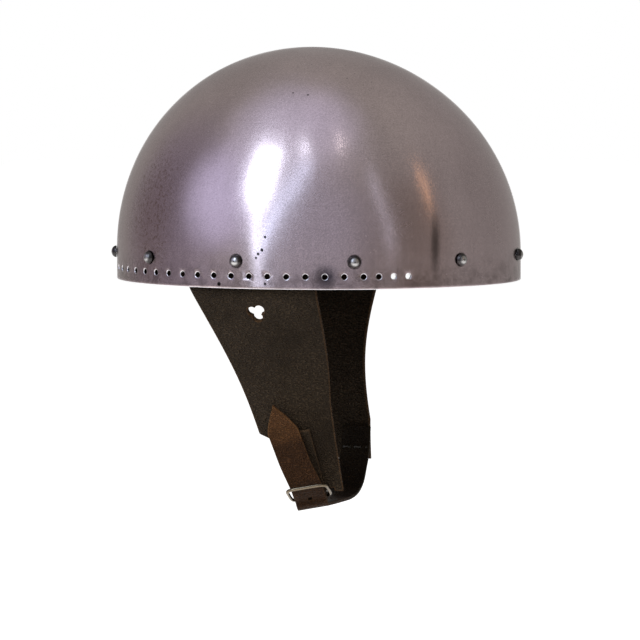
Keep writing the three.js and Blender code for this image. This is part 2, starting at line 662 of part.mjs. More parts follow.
// Stations along the strap from its sewn end to its point: middle and direction across.
function strapStations() {
  const stations = [];
  const station = (at, across) => stations.push({ at, across: across.normalize() });
  const { step } = tolerance;
  [strap.overlap, half(strap.overlap), 0].forEach((up) => {
    const drop = leftFlap.length - up;
    const inward = strapOffset + gap.rest;
    const [front, back] = [sewnY - step, sewnY + step].map((y) => leftInside(y, drop, inward));
    station(leftInside(sewnY, drop, inward), front.sub(back));
  });
  const faceward = v3(0, -1, 0);
  chinWayShares.forEach(({ left, dip, turn }) => {
    const face = strap.chinFace + left * strap.chinTurn;
    const at = v3(left * flap.chinHalfWidth, -face, -flap.length - dip * strap.chinDip);
    station(at, faceward.clone().lerp(pinAxis, turn));
  });
  const slide = Math.tan(rad(strap.slant));
  const byRing = (up, out) => {
    const turning = smoothstep(up, half(strap.straightUp), strap.straightUp * 2) * slide;
    const along = -Math.max(up - strap.straightUp, 0) * slide;
    station(fromPin(along, up, out), fromPin(1, turning, 0).sub(pinCentre));
  };
  const foldRadius = chapeFace + half(strap.thickness);
  foldTurns.map(rad).forEach((turn) => {
    byRing(-foldRadius * Math.cos(turn), foldRadius * Math.sin(turn));
  });
  underRingShares.forEach(({ up, out }) => byRing(up * buckle.reach, out * buckle.reach));
  const overFlap = overFlapShares.map(({ up, out }) => [up * strap.tipUp, out * buckle.reach]);
  [...overFlap, [strap.tipUp, strapOffset]].forEach(([up, out]) => {
    const along = (strap.straightUp - up) * slide;
    const at = atBuckle(along, up, out);
    station(at, atBuckle(along + step, up + slide * step, out).sub(at));
  });
  return stations;
}

const stations = strapStations();
const edge = (side) => new THREE.CatmullRomCurve3(
  stations.map(({ at, across }) => at.clone().addScaledVector(across, side * half(strap.width))),
  false,
  'catmullrom',
);
const [backEdge, frontEdge] = [edge(-1), edge(1)];
const strapPoint = (share, u) => backEdge.getPoint(share).lerp(frontEdge.getPoint(share), u);
const strapRuns = [0];
for (let i = 1; i <= strapFacets.samples; i += 1) {
  const [before, here] = [i - 1, i].map((k) => strapPoint(k / strapFacets.samples, half(1)));
  strapRuns.push(strapRuns[i - 1] + here.distanceTo(before));
}
const strapLength = strapRuns[strapFacets.samples];
// The share of the way along the edge curves at a length from the sewn end.
function strapShare(run) {
  const i = Math.max(strapRuns.findIndex((value) => value >= Math.min(run, strapLength)), 1);
  return (i - (strapRuns[i] - run) / (strapRuns[i] - strapRuns[i - 1])) / strapFacets.samples;
}
function strapSurface(u, v) {
  const toPoint = clamp(((1 - v) * strapLength) / strap.pointLength, 0, 1);
  const width = Math.max(1 - Math.pow(1 - toPoint, strapShares.pointPower), strapShares.pointEnd);
  return strapPoint(strapShare(v * strapLength), half(1) + (u - half(1)) * width);
}
const strapHoles = Array.from({ length: strap.holes }, (_, i) => {
  const v = 1 - (strap.firstHole + i * strap.holePitch) / strapLength;
  const normal = normalAt(strapSurface, half(1), v);
  return drill(strapSurface(half(1), v), normal, strap.holeRadius, strap.thickness, strap.holeSides);
});

// A running stitch across the strap's sewn end, in and out through the strap and the flap.
const stitchSeats = Array.from({ length: stitch.holes }, (_, i) => {
  const y = sewnY + (i - half(stitch.holes - 1)) * stitch.pitch;
  return (aside, inward) => leftInside(y + aside, leftFlap.length - stitch.up, inward);
});
const stitchHoles = stitchSeats.map((seat) => {
  const through = seat(0, -1).sub(seat(0, 1)).normalize();
  return drill(seat(0, strapOffset), through, stitch.holeRadius, gap.overrun, stitch.holeSides);
});
function stitchPath() {
  const outer = -half(flap.thickness);
  const inner = strapOffset + half(strap.thickness) + gap.rest;
  const lift = stitch.radius + gap.rest;
  const points = [];
  stitchSeats.forEach((seat, i) => {
    const faces = [[inner, lift], [outer, -lift]];
    if (i % 2 === 1) faces.reverse();
    const [[enter, enterLift], [leave, leaveLift]] = faces;
    points.push(seat(-stitch.turn, enter + enterLift), seat(0, enter), seat(0, leave));
    points.push(seat(stitch.turn, leave + leaveLift));
  });
  return new THREE.CatmullRomCurve3(points, false, 'centripetal');
}

add('cheek_flap_left', cut(
  mirror(flapSheet(leftFlap)),
  [mirror(flapRivetHole), ...stitchHoles],
), 'flapLeather');
add('chin_strap', cut(
  sheet(strapSurface, strapFacets.across, strapFacets.along, strap.thickness),
  [...strapHoles, ...stitchHoles],
), 'strapLeather');
const stitchSteps = stitch.holes * stitch.stepsPerHole;
add('strap_stitching', bar(stitchPath(), stitch.radius, stitch.sides, stitchSteps), 'thread');

// The strap's length and the line of the buckle's bar, which the ring and the tongue turn on.
helmet.userData = { strapLength, pinCentre: pinCentre.toArray(), pinAxis: pinAxis.toArray() };

export default helmet;
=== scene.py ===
"""Cervelliere: a steel skull cap with a laced lining, leather cheek flaps and a buckled strap.

Metres. +Z is up, the face looks along -Y and the wearer's right side is -X.
"""

import math

import bmesh
import bpy
from bpy.props import FloatProperty, FloatVectorProperty, IntProperty, PointerProperty
from bpy.types import Operator, Panel, PropertyGroup
from mathutils import Matrix, Vector, kdtree


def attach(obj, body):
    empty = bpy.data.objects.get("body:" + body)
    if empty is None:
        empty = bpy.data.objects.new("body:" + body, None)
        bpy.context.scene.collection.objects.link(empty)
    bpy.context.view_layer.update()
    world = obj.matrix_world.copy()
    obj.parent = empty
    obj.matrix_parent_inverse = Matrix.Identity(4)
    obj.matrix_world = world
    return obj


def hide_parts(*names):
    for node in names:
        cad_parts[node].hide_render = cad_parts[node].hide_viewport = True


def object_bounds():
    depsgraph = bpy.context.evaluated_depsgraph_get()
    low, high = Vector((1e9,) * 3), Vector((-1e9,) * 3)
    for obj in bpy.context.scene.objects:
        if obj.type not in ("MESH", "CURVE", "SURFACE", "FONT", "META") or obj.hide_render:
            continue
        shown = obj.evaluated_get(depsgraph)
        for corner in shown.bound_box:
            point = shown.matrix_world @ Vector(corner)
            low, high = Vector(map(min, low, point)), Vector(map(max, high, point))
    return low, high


bl_info = {
    "name": "Cervelliere Builder",
    "version": (1, 0, 0),
    "blender": (4, 5, 0),
    "location": "View3D > Sidebar > Helmet",
    "description": "Builds a steel skull cap with leather cheek flaps and a chin strap",
    "category": "Object",
}

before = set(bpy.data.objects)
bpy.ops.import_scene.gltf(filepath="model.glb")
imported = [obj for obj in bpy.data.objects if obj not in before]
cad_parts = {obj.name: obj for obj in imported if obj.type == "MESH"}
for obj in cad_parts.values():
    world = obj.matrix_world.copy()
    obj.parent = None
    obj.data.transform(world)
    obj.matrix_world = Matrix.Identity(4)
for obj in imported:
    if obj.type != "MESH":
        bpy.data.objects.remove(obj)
CAD_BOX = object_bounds()
MM = 0.001


# Sizes that the pieces share with the solids, in millimetres.


class Sizes:
    """Named lengths of one piece, turned to metres."""

    def __init__(self, **lengths):
        for name, value in lengths.items():
            setattr(self, name, value * MM)


GAP = Sizes(rest=0.3, curved_seat=0.6, swing=1.3)
BOWL = Sizes(length=230, width=204, height=131, skirt=16.5, wall=2, crown_set_back=4)
# Rows of the upright skirt, as shares of its height, and the middle point of the rim's
# rounding, as a share of it.
SKIRT_SHARES = (1 / 11, 8 / 33, 5 / 11, 2 / 3, 46 / 55)
LIP_SHARE = 0.3
LACING = Sizes(radius=1.5, height=6.9)
LACING_COUNT = 48
LACING_END_PITCHES, LACING_END_SHARE = 3, 0.8
LACING_FACE_ANGLE = 54.6
RIVET = Sizes(
    height=15, head_radius=3.4, head_height=2.9, shank_radius=1.6, hole_radius=1.9,
    tail_radius=2.6, tail_height=1.2, washer_radius=4.5, washer_thickness=0.8,
)
RIVET_ANGLES = (87, 53, 20, -12.7, -44.2, -79, -107.5, -136, -167.3, -200, -235)
FLAP_RIVET = 3
LINING = Sizes(
    thickness=2, bottom=4, brow_bottom=9.6, top=38, tongue_thickness=1.6, tongue_overlap=4,
    crown_drop=17, hole_radius=3, wear_reach=0.9,
)
BROW_FROM, BROW_TO = math.radians(25.5), math.radians(31.5)
TONGUES = 8
TONGUE_BASE, TONGUE_TIP, TONGUE_ROUNDING, TONGUE_CUT = 0.96, 0.62, 0.12, 0.9
CROWN_ANGLE, LACE_ANGLE = math.radians(76), math.radians(71)
POCKET_BLEND, POCKET_FRONT, POCKET_BACK = (math.radians(a) for a in (3.6, 2, 4))
LACE = Sizes(radius=0.9, weave=3.2, turn=3.5, tail=28)
FLAP = Sizes(
    thickness=3, top=25, length=115.8, chin_half_width=45, rim_bend=6, turn_in=20, front=18.3,
    front_reach=4.7, back=54.5, back_hollow=4, corner_back=21.8, corner_drop=83, step_back=14,
    step_drop=86.8, tail_back=3, top_front=10.2, top_back=44, corner_round=10, notch_up=3.9,
    notch_clear=1.4,
)
FLAP_EASING = 1.4
RIGHT_EDGE = Sizes(length=115.8, front_hollow=-1.6, hollow_depth=66)
LEFT_EDGE = Sizes(length=105, front_hollow=5, hollow_depth=85)
# How far the left flap's tail reaches past its solid, to close a gap that the camera sees.
LEFT_TAIL = 2.6 * MM
TREFOIL = Sizes(radius=2.75, spacing=4.1, back=15.6, drop=12.9)
TREFOIL_TILT = -18
CHAPE = Sizes(
    width=17.4, thickness=1.8, outer_length=40, inner_length=37, slot_width=3.4, slot_up=16
)
CHAPE_RIVET = Sizes(
    head_radius=3.2, head_height=1, shank_radius=1.3, hole_radius=1.6, lower=24.2, upper=33
)
BUCKLE = Sizes(back=-5.2, below_flap=4.4, wire_radius=1.1, outer_width=24.4, reach=18)
BUCKLE_SLANT, BUCKLE_LEAN = math.radians(10.5), math.radians(58)
BUCKLE_CORNER_POWER = 6
# The radius of the ring's wire as it is shown. It is finer than the solid's.
SHOWN_WIRE = 0.94 * MM
TONGUE = Sizes(wire_radius=0.7, length=19, lift=7.4)
TONGUE_LIFT_SHARE = 0.8
STRAP = Sizes(
    width=17.6, thickness=2, point_length=16, hole_radius=1.3, first_hole=59, hole_pitch=15,
    straight_up=8, tip_up=57, overlap=15, edge_margin=1, chin_dip=9.8, chin_face=9.2,
    chin_turn=2.7,
)
STRAP_SLANT = math.tan(math.radians(8.5))
STRAP_HOLES = 5
STRAP_POINT_POWER, STRAP_POINT_END = 1.25, 0.03
# Under the chin: shares of half the chin's width to the wearer's left, of the dip and of the turn.
CHIN_WAY_SHARES = (
    (0.889, -0.337, 0), (0.744, 0.388, 0), (0.489, 0.857, 0),
    (0.133, 1, 0), (-0.356, 0.98, 0.4), (-0.711, 0.96, 0.8),
)
# Degrees round the fold, then the way up and out as shares.
FOLD_TURNS = (0, 30, 60, 90)
UNDER_RING_SHARES = ((0.25, 0.5), (0.583, 0.667))
OVER_FLAP_SHARES = ((0.421, 0.522), (0.614, 0.383), (0.807, 0.256))
STITCH = Sizes(radius=0.45, pitch=3.4, hole_radius=0.95, up=3, turn=0.9)
STITCH_HOLES = 5
# How long the cutters are, half of it on each side of the face that they cut. The slot's is
# how far its block stands out past the chape.
CUT = Sizes(bowl=12, lace=8, rivet=30, lobe=12, notch=12, chape=20, slot=6, stitch=10, strap=4)
# Threads, laces and prongs are a shade thinner than their solids.
SLIM = 0.98
# How far wear reaches in from a leather's edge, as a share of its thickness, and how strongly
# the bowl's rim is painted pale, as worn steel and as a painted highlight.
WEAR_SHARE, RIM_WEAR_AND_HIGHLIGHT = 0.3, 0.8
# How far a lacing hole's wall, which is painted with shade, and the painted shadow round a
# rivet's head reach from their middles, as shares of the hole's and the head's radius.
WALL_REACH, RIVET_SHADOW_REACH = 1.04, 1.28

# Facets: columns and rows of the sheets, sides of what is round, steps of what is bent.

LINING_GRID, TONGUE_GRID, FLAP_GRID = (360, 14), (16, 40), (48, 112)
CHAPE_GRID, STRAP_GRID = (16, 110), (20, 190)
FLAP_TOP_ROWS, FLAP_ROWS, FLAP_STEP_ROWS, FLAP_TAIL_ROWS = 20, 64, 4, 24
STITCH_SIDES, HOLE_SIDES, WIDE_HOLE_SIDES, LOBE_SIDES = 12, 20, 24, 32
SMALL_RIVET_SIDES, RIVET_SIDES = 32, 40
DOME_STEPS, SMALL_DOME_STEPS = 14, 7
BOWL_ROWS = 60
LACE_STEPS, STITCH_STEPS = 420, 240
RING_SAMPLES, RING_STEPS = 160, 150
EYE_STEPS, PRONG_STEPS = 48, 24


def clamp(value, low=0.0, high=1.0):
    """Keep a value between two limits."""
    return max(low, min(high, value))


def lerp(a, b, share):
    """Go from a to b by a share."""
    return a + (b - a) * share


def smoothstep(value, low, high):
    """Ease from 0 to 1 between two limits."""
    share = clamp((value - low) / (high - low))
    return share * share * (3 - 2 * share)


# The forms that the pieces follow.


def set_back(z):
    """How far the bowl's crown leans back at a height."""
    return BOWL.crown_set_back * (max(z, 0) / BOWL.height) ** 2


def crown_point(angle, rise, inset):
    """A point inset from the bowl's outer face, by its way round the plan and its rise."""
    level = math.cos(rise)
    z = BOWL.skirt + (BOWL.height - BOWL.skirt - inset) * math.sin(rise)
    x = (BOWL.width / 2 - inset) * level * math.cos(angle)
    y = (BOWL.length / 2 - inset) * level * math.sin(angle)
    return Vector((x, y + set_back(z), z))


def wall_point(angle, z, inset):
    """A point inset from the bowl's outer face at a height."""
    share = clamp((z - BOWL.skirt) / (BOWL.height - BOWL.skirt - inset))
    point = crown_point(angle, math.asin(share), inset)
    point.z = z
    return point


def plan_normal(point):
    """The level direction that looks out of the bowl at a point of its wall."""
    across = point.x / (BOWL.width / 2) ** 2
    along = point.y / (BOWL.length / 2) ** 2
    return Vector((across, along, 0)).normalized()


def lacing_seats():
    """The middles of the lacing holes, on the bowl's outer face."""
    start = math.radians(LACING_FACE_ANGLE - 90)
    sweep = math.radians(360 - 2 * LACING_FACE_ANGLE)
    steps = 4000
    samples = [wall_point(start + sweep * i / steps, LACING.height, 0) for i in range(steps + 1)]
    runs = [0.0]
    for before, here in zip(samples, samples[1:]):
        runs.append(runs[-1] + (here - before).length)
    last = LACING_COUNT - 1
    pitches = [
        LACING_END_SHARE if min(i, last - 1 - i) < LACING_END_PITCHES else 1 for i in range(last)
    ]
    seats, sample = [], 0
    for i in range(LACING_COUNT):
        run = runs[-1] * sum(pitches[:i]) / sum(pitches)
        while sample < steps and runs[sample] < run:
            sample += 1
        seats.append(samples[sample])
    return seats


def rivet_seats():
    """Each rivet's way round the plan, its seat on the outer face and its direction out."""
    seats = []
    for side_angle in RIVET_ANGLES:
        angle = math.radians(side_angle) + math.pi
        seat = wall_point(angle, RIVET.height, 0)
        seats.append((angle, seat, plan_normal(seat)))
    return seats


PLAIN_INSET = BOWL.wall + GAP.rest
FLAP_INSET = BOWL.wall + GAP.swing + FLAP.thickness / 2
POCKET_INSET = BOWL.wall + FLAP.thickness + GAP.swing * 2


def lining_inset(angle):
    """How deep the lining lies in the bowl: it stands off where the flaps hang."""
    side = math.asin(clamp(math.sin(angle), -1, 1))
    back = math.asin(FLAP.back / (BOWL.length / 2)) + POCKET_BACK
    front = math.asin(-FLAP.front / (BOWL.length / 2)) - POCKET_FRONT
    past = max(side - back, front - side, 0)
    return lerp(POCKET_INSET, PLAIN_INSET, smoothstep(past, 0, POCKET_BLEND))


TONGUE_FOOT = math.asin(
    (LINING.top - LINING.tongue_overlap - BOWL.skirt) / (BOWL.height - BOWL.skirt - PLAIN_INSET)
)
LACE_SHARE = (LACE_ANGLE - TONGUE_FOOT) / (CROWN_ANGLE - TONGUE_FOOT)


def tongue_point(middle, u, v):
    """A point of a lining tongue's middle surface."""
    near_tip = clamp((v - 1) / TONGUE_ROUNDING + 1, 0, TONGUE_CUT)
    width = lerp(TONGUE_BASE, TONGUE_TIP, v) * math.sqrt(1 - near_tip**2) * math.tau / TONGUES
    angle = middle + (u - 0.5) * width
    inset = lerp(lining_inset(angle), PLAIN_INSET, smoothstep(v, 0, 0.5))
    inset += LINING.thickness / 2 + LINING.crown_drop * v * v
    return crown_point(angle, lerp(TONGUE_FOOT, CROWN_ANGLE, v), inset)


def surface_normal(surface, u, v):
    """The unit normal of a surface given over u and v from 0 to 1."""
    step = 1e-3
    along_u = surface(min(u + step, 1), v) - surface(max(u - step, 0), v)
    along_v = surface(u, max(v - step, 0)) - surface(u, min(v + step, 1))
    return along_u.cross(along_v).normalized()


def flap_hang(drop):
    """How far out the flap hangs at a drop below the rim, and how far back it is centred."""
    fallen = max(drop, 0)
    eased = clamp(fallen * fallen / (fallen + FLAP.rim_bend) / FLAP.length)
    top = BOWL.width / 2 - FLAP_INSET
    out = FLAP.chin_half_width + (top - FLAP.chin_half_width) * (1 - eased) ** FLAP_EASING
    return out, FLAP.turn_in * smoothstep(fallen, 0, FLAP.length / 2)


def on_flap(y, drop):
    """A point of the right flap's middle surface."""
    out, centre = flap_hang(drop)
    level = 1.0
    if drop < 0:
        level = wall_point(0, -drop, FLAP_INSET).x / (BOWL.width / 2 - FLAP_INSET)
    reach = (BOWL.length / 2 - FLAP_INSET) * level
    return Vector((-out * level * math.sqrt(1 - ((y - centre) / reach) ** 2), y, -drop))


def off_flap(y, drop, out):
    """A point that stands out from the right flap's middle surface."""
    step = 1e-5
    along_y = on_flap(y - step, drop) - on_flap(y + step, drop)
    along_z = on_flap(y, drop - step) - on_flap(y, drop + step)
    return on_flap(y, drop) + along_y.cross(along_z).normalized() * out


def top_rounding(height):
    """How far a flap's top corner is rounded off at a height above the rim."""
    return clamp((height - FLAP.top + FLAP.corner_round) / FLAP.corner_round) ** 2


def flap_front(drop, edge):
    """The front edge of a flap at a drop."""
    if drop < 0:
        return lerp(-FLAP.front, -FLAP.top_front, top_rounding(-drop))
    hollow = edge.front_hollow * math.sin(clamp(drop / edge.hollow_depth) * math.pi)
    return hollow - FLAP.front - FLAP.front_reach * (drop / FLAP.length) ** 3


def flap_back(drop):
    """The back edge of a flap at a drop."""
    if drop < 0:
        return lerp(FLAP.back, FLAP.top_back, top_rounding(-drop))
    if drop < FLAP.corner_drop:
        share = drop / FLAP.corner_drop
        hollow = FLAP.back_hollow * math.sin(share * math.pi)
        return lerp(FLAP.back, FLAP.corner_back, share) - hollow
    if drop < FLAP.step_drop:
        share = (drop - FLAP.corner_drop) / (FLAP.step_drop - FLAP.corner_drop)
        return lerp(FLAP.corner_back, FLAP.step_back, share)
    share = (drop - FLAP.step_drop) / (FLAP.length - FLAP.step_drop)
    return lerp(FLAP.step_back, FLAP.tail_back, share)


def flap_rows(length):
    """The drops of the rows that a flap is laid out in."""
    rows = []
    for low, high, count in (
        (-FLAP.top, 0, FLAP_TOP_ROWS), (0, FLAP.corner_drop, FLAP_ROWS),
        (FLAP.corner_drop, FLAP.step_drop, FLAP_STEP_ROWS),
        (FLAP.step_drop, length, FLAP_TAIL_ROWS),
    ):
        rows += [lerp(low, high, i / count) for i in range(count)]
    return rows + [length]


def at_buckle(along, up, out):
    """A point by its way along the buckle's bar, up the chape and out from the flap."""
    y = BUCKLE.back - along * math.cos(BUCKLE_SLANT) + up * math.sin(BUCKLE_SLANT)
    drop = FLAP.length + BUCKLE.below_flap
    drop -= along * math.sin(BUCKLE_SLANT) + up * math.cos(BUCKLE_SLANT)
    return off_flap(y, drop, out)


PIN_CENTRE = at_buckle(0, 0, 0)
PIN_AXIS = (at_buckle(MM, 0, 0) - at_buckle(-MM, 0, 0)).normalized()
OUT_AXIS = (at_buckle(0, 0, MM) - PIN_CENTRE).normalized()
UP_AXIS = OUT_AXIS.cross(PIN_AXIS).normalized()
CHAPE_OUT = FLAP.thickness / 2 + GAP.rest + CHAPE.thickness / 2
TONGUE_EYE = BUCKLE.wire_radius + GAP.rest + TONGUE.wire_radius


def from_pin(along, up, out):
    """A point by its place about the buckle's straight bar."""
    return PIN_CENTRE + PIN_AXIS * along + UP_AXIS * up + OUT_AXIS * out


def chape_point(u, v):
    """A point of the folded chape's middle surface."""
    fold = math.pi * CHAPE_OUT
    run = v * (CHAPE.outer_length + fold + CHAPE.inner_length)
    along = (0.5 - u) * CHAPE.width
    if run < CHAPE.outer_length:
        return at_buckle(along, CHAPE.outer_length - run, CHAPE_OUT)
    if run > CHAPE.outer_length + fold:
        return at_buckle(along, run - CHAPE.outer_length - fold, -CHAPE_OUT)
    angle = (run - CHAPE.outer_length) / CHAPE_OUT
    return at_buckle(along, -CHAPE_OUT * math.sin(angle), CHAPE_OUT * math.cos(angle))


STRAP_OFFSET = FLAP.thickness / 2 + GAP.rest + STRAP.thickness / 2
SEWN_Y = STRAP.width / 2 + STRAP.edge_margin - FLAP.front - FLAP.front_reach


def left_inside(y, drop, inward):
    """A point that stands in from the left flap's middle surface."""
    point = off_flap(y, drop, -inward)
    point.x = -point.x
    return point


def catmull_rom(points, share, centripetal=False):
    """A point of the curve through points, at a share of its way."""
    at = (len(points) - 1) * share
    i = min(int(at), len(points) - 2)
    t = at - i
    p1, p2 = points[i], points[i + 1]
    p0 = points[i - 1] if i > 0 else points[0] * 2 - points[1]
    p3 = points[i + 2] if i + 2 < len(points) else points[-1] * 2 - points[-2]
    if centripetal:
        d0, d1, d2 = (max((b - a).length, 1e-9) ** 0.5 for a, b in ((p0, p1), (p1, p2), (p2, p3)))
        m1 = ((p1 - p0) / d0 - (p2 - p0) / (d0 + d1) + (p2 - p1) / d1) * d1
        m2 = ((p2 - p1) / d1 - (p3 - p1) / (d1 + d2) + (p3 - p2) / d2) * d1
    else:
        m1, m2 = (p2 - p0) / 2, (p3 - p1) / 2
    c2 = (p2 - p1) * 3 - m1 * 2 - m2
    c3 = (p1 - p2) * 2 + m1 + m2
    return p1 + m1 * t + c2 * t**2 + c3 * t**3


def curve_through(points, steps):
    """Points spaced along an even curve that goes through some points."""
    return [catmull_rom(points, i / steps, centripetal=True) for i in range(steps + 1)]


def strap_stations():
    """Stations along the strap from its sewn end to its point: middle and direction across."""
    stations = []
    step = 1e-5
    inward = STRAP_OFFSET + GAP.rest
    for up in (STRAP.overlap, STRAP.overlap / 2, 0):
        drop = LEFT_EDGE.length - up
        across = left_inside(SEWN_Y - step, drop, inward) - left_inside(SEWN_Y + step, drop, inward)
        stations.append((left_inside(SEWN_Y, drop, inward), across.normalized()))
    faceward = Vector((0, -1, 0))
    for left, dip, turn in CHIN_WAY_SHARES:
        face = STRAP.chin_face + left * STRAP.chin_turn
        drop = FLAP.length + dip * STRAP.chin_dip
        place = Vector((left * FLAP.chin_half_width, -face, -drop))
        stations.append((place, faceward.lerp(PIN_AXIS, turn).normalized()))

    def by_ring(up, out):
        """Add a station by its way up from the buckle's bar and out from it."""
        turning = smoothstep(up, STRAP.straight_up / 2, STRAP.straight_up * 2) * STRAP_SLANT
        place = from_pin(-max(up - STRAP.straight_up, 0) * STRAP_SLANT, up, out)
        stations.append((place, (PIN_AXIS + UP_AXIS * turning).normalized()))

    fold = CHAPE_OUT + CHAPE.thickness / 2 + GAP.rest + STRAP.thickness / 2
    for turn in map(math.radians, FOLD_TURNS):
        by_ring(-fold * math.cos(turn), fold * math.sin(turn))
    for up, out in UNDER_RING_SHARES:
        by_ring(up * BUCKLE.reach, out * BUCKLE.reach)
    over_flap = [(up * STRAP.tip_up, out * BUCKLE.reach) for up, out in OVER_FLAP_SHARES]
    for up, out in (*over_flap, (STRAP.tip_up, STRAP_OFFSET)):
        along = (STRAP.straight_up - up) * STRAP_SLANT
        place = at_buckle(along, up, out)
        beside = at_buckle(along + step, up + STRAP_SLANT * step, out)
        stations.append((place, (beside - place).normalized()))
    return stations


STATIONS = strap_stations()
STRAP_EDGES = [
    [place + across * side * STRAP.width / 2 for place, across in STATIONS] for side in (-1, 1)
]


def strap_place(share, u):
    """A point across the strap at a share of its edge curves."""
    back, front = (catmull_rom(edge, share) for edge in STRAP_EDGES)
    return back.lerp(front, u)


def strap_lengths(samples=400):
    """The length of the strap's middle from its sewn end to each sample."""
    runs = [0.0]
    before = strap_place(0, 0.5)
    for i in range(1, samples + 1):
        here = strap_place(i / samples, 0.5)
        runs.append(runs[-1] + (here - before).length)
        before = here
    return runs


STRAP_RUNS = strap_lengths()
STRAP_LENGTH = STRAP_RUNS[-1]


def strap_surface(u, v):
    """A point of the strap's middle surface, by its length."""
    run = min(v * STRAP_LENGTH, STRAP_LENGTH)
    i = max(next(k for k, value in enumerate(STRAP_RUNS) if value >= run), 1)
    short_of = (STRAP_RUNS[i] - run) / (STRAP_RUNS[i] - STRAP_RUNS[i - 1])
    share = (i - short_of) / (len(STRAP_RUNS) - 1)
    to_point = clamp((1 - v) * STRAP_LENGTH / STRAP.point_length)
    width = max(1 - (1 - to_point) ** STRAP_POINT_POWER, STRAP_POINT_END)
    return strap_place(share, 0.5 + (u - 0.5) * width)


# The camera and what the steel mirrors to it.

PHOTO_PIXELS, FOCAL_PIXELS, ORIGIN_PIXEL = 640, 3520, (318.5, 278)
CAMERA_TURN, CAMERA_TILT, CAMERA_DISTANCE = math.radians(11.5), math.radians(3.6), 2.0
LAMP_DISTANCE = 1.6
# The soft key lamp: width, height and distance, its way round from the face, and its rise.
KEY_WIDE, KEY_TALL, KEY_DISTANCE = 1.3, 1.1, 1.9
KEY_AROUND, KEY_RISE = math.radians(-112), math.radians(46)
# The pale floor is a sheet that runs from before the helmet to far behind it.
FLOOR_NEAR, FLOOR_FAR, FLOOR_WIDTH = 0.8, 12, 2.4
# Where its mirrored brightness starts to fade and ends, as shares of its near part.
FADE_START, FADE_END = 0.6, 1.45
# Adds what the lamps leave missing between the floor's shade and white.
FLOOR_GLOW = 0.79
# The room as the steel mirrors it: its even tone, then soft patches of other tones, each
# with its direction and its half width in degrees.
ROOM_TONE = (0.36, 0.355, 0.34)
ROOM_PATCHES = (
    ((0.0, 0.1, 1.0), 70, (0.43, 0.43, 0.40)),
    ((-0.15, 0.97, 0.2), 50, (0.275, 0.255, 0.31)),
    ((-0.62, -0.77, 0.1), 42, (0.24, 0.21, 0.185)),
    ((-0.95, 0.0, 0.2), 45, (0.47, 0.48, 0.56)),
    ((-0.60, 0.66, 0.42), 31, (0.83, 0.86, 1.16)),
    ((-0.36, 0.16, 0.92), 38, (0.80, 0.83, 1.0)),
)
# Lamps by the place on the bowl that mirrors them, as a way round in degrees and a height in
# millimetres, then the lamp's width and height in metres, its turn in degrees, its brightness
# beside the window setting's, and its tint.
MIRRORED_LAMPS = (
    ("window", 174.0, 62.5, 0.37, 0.80, 2, 1.9, (0.75, 0.90, 1.06)),
    ("window_low", 172.9, 38, 0.13, 1.2, 4, 1.1, (0.75, 0.90, 1.06)),
    ("curtain", 179.6, 45, 0.14, 1.6, -22, 0.85, (0.66, 0.86, 1.15)),
    ("pane", 186.1, 76, 0.12, 0.03, 10, 9.5, (0.8, 0.95, 1.08)),
    ("far_pane", 198.3, 78, 0.022, 0.12, 0, 4.8, (0.92, 0.93, 0.92)),
    ("pale_door", 208.8, 42, 0.05, 1.3, 6, 0.75, (0.78, 0.88, 1.05)),
    ("warm_door", 222.9, 54, 0.04, 0.60, -14, 0.95, (1.0, 0.58, 0.27)),
)

# Marks on the bowl's steel, in metres. Stains, and in the last row a painted reflection of a
# dark streak: middle, stretch, radius, raggedness, colour and strength.
STAINS_AND_PAINTED_REFLECTION = (
    ((-0.0700, 0.0800, 0.034), (1.0, 1.0, 0.5), 0.026, 1.3, (0.33, 0.22, 0.16), 0.40),
    ((-0.0999, -0.0240, 0.0065), (1.0, 1.0, 1.0), 0.0095, 0.5, (0.05, 0.045, 0.06), 0.95),
    # The last row is no stain: it is a painted reflection of a dark streak that the steel mirrors.
    ((-0.0725, -0.0795, 0.023), (1.0, 2.4, 0.34), 0.0085, 0.5, (0.06, 0.05, 0.045), 0.75),
)
# Pits: middle and radius.
PITS = (
    ((-0.1012, 0.0089, 0.0283), 0.0009), ((-0.1015, 0.0105, 0.0213), 0.0011),
    ((-0.1014, 0.0127, 0.0191), 0.0010), ((-0.1013, 0.0139, 0.0169), 0.0008),
    ((-0.0970, 0.0354, 0.0023), 0.0013), ((-0.1017, 0.0088, 0.0029), 0.0009),
    ((-0.0640, 0.0012, 0.1056), 0.0006), ((-0.0646, -0.0073, 0.1045), 0.0007),
)
# The pits' colour, and the painted shadow round each rivet's head.
PIT_TONE, RIVET_SHADOW_TONE = (0.015, 0.012, 0.012), (0.03, 0.024, 0.022)
FLAW_TONE = (0.02, 0.017, 0.015)
# Worn steel painted pale on the rounded edges of the holes and the rim, where it also paints their
# highlight; and painted shade for the lacing holes' walls.
WORN_STEEL_AND_HIGHLIGHT, HOLE_SHADE_TONE = (0.78, 0.75, 0.77), (0.014, 0.011, 0.011)
RUST_TONE, TARNISH_TONE = (0.20, 0.12, 0.075), (0.13, 0.095, 0.09)
# The flecks of rust at the back, and the heights between which the rim's tarnish fades.
RUST_PLACE, RUST_STRETCH, RUST_RADIUS = (-0.072, 0.083, 0.045), (1.0, 1.0, 0.42), 0.034
TARNISH = Sizes(top=22, foot=2)
# How far the bowl's polish runs one way.
BRUSHED = 0.6
# Other steel, leather and thread.
# A dark ring of painted shade round each rivet's dome, and a dark dot at the dome's top.
DOME_SHADE_RING, DOME_TOP = (0.03, 0.026, 0.026), (0.05, 0.045, 0.045)
WASHER_STEEL, SMALL_RIVET_STEEL = (0.36, 0.35, 0.34), (0.34, 0.32, 0.31)
LACE_LEATHER, LACE_EDGE = (0.15, 0.085, 0.045), (0.28, 0.17, 0.10)
THREAD_DARK, THREAD_LIGHT = (0.014, 0.011, 0.008), (0.034, 0.027, 0.019)
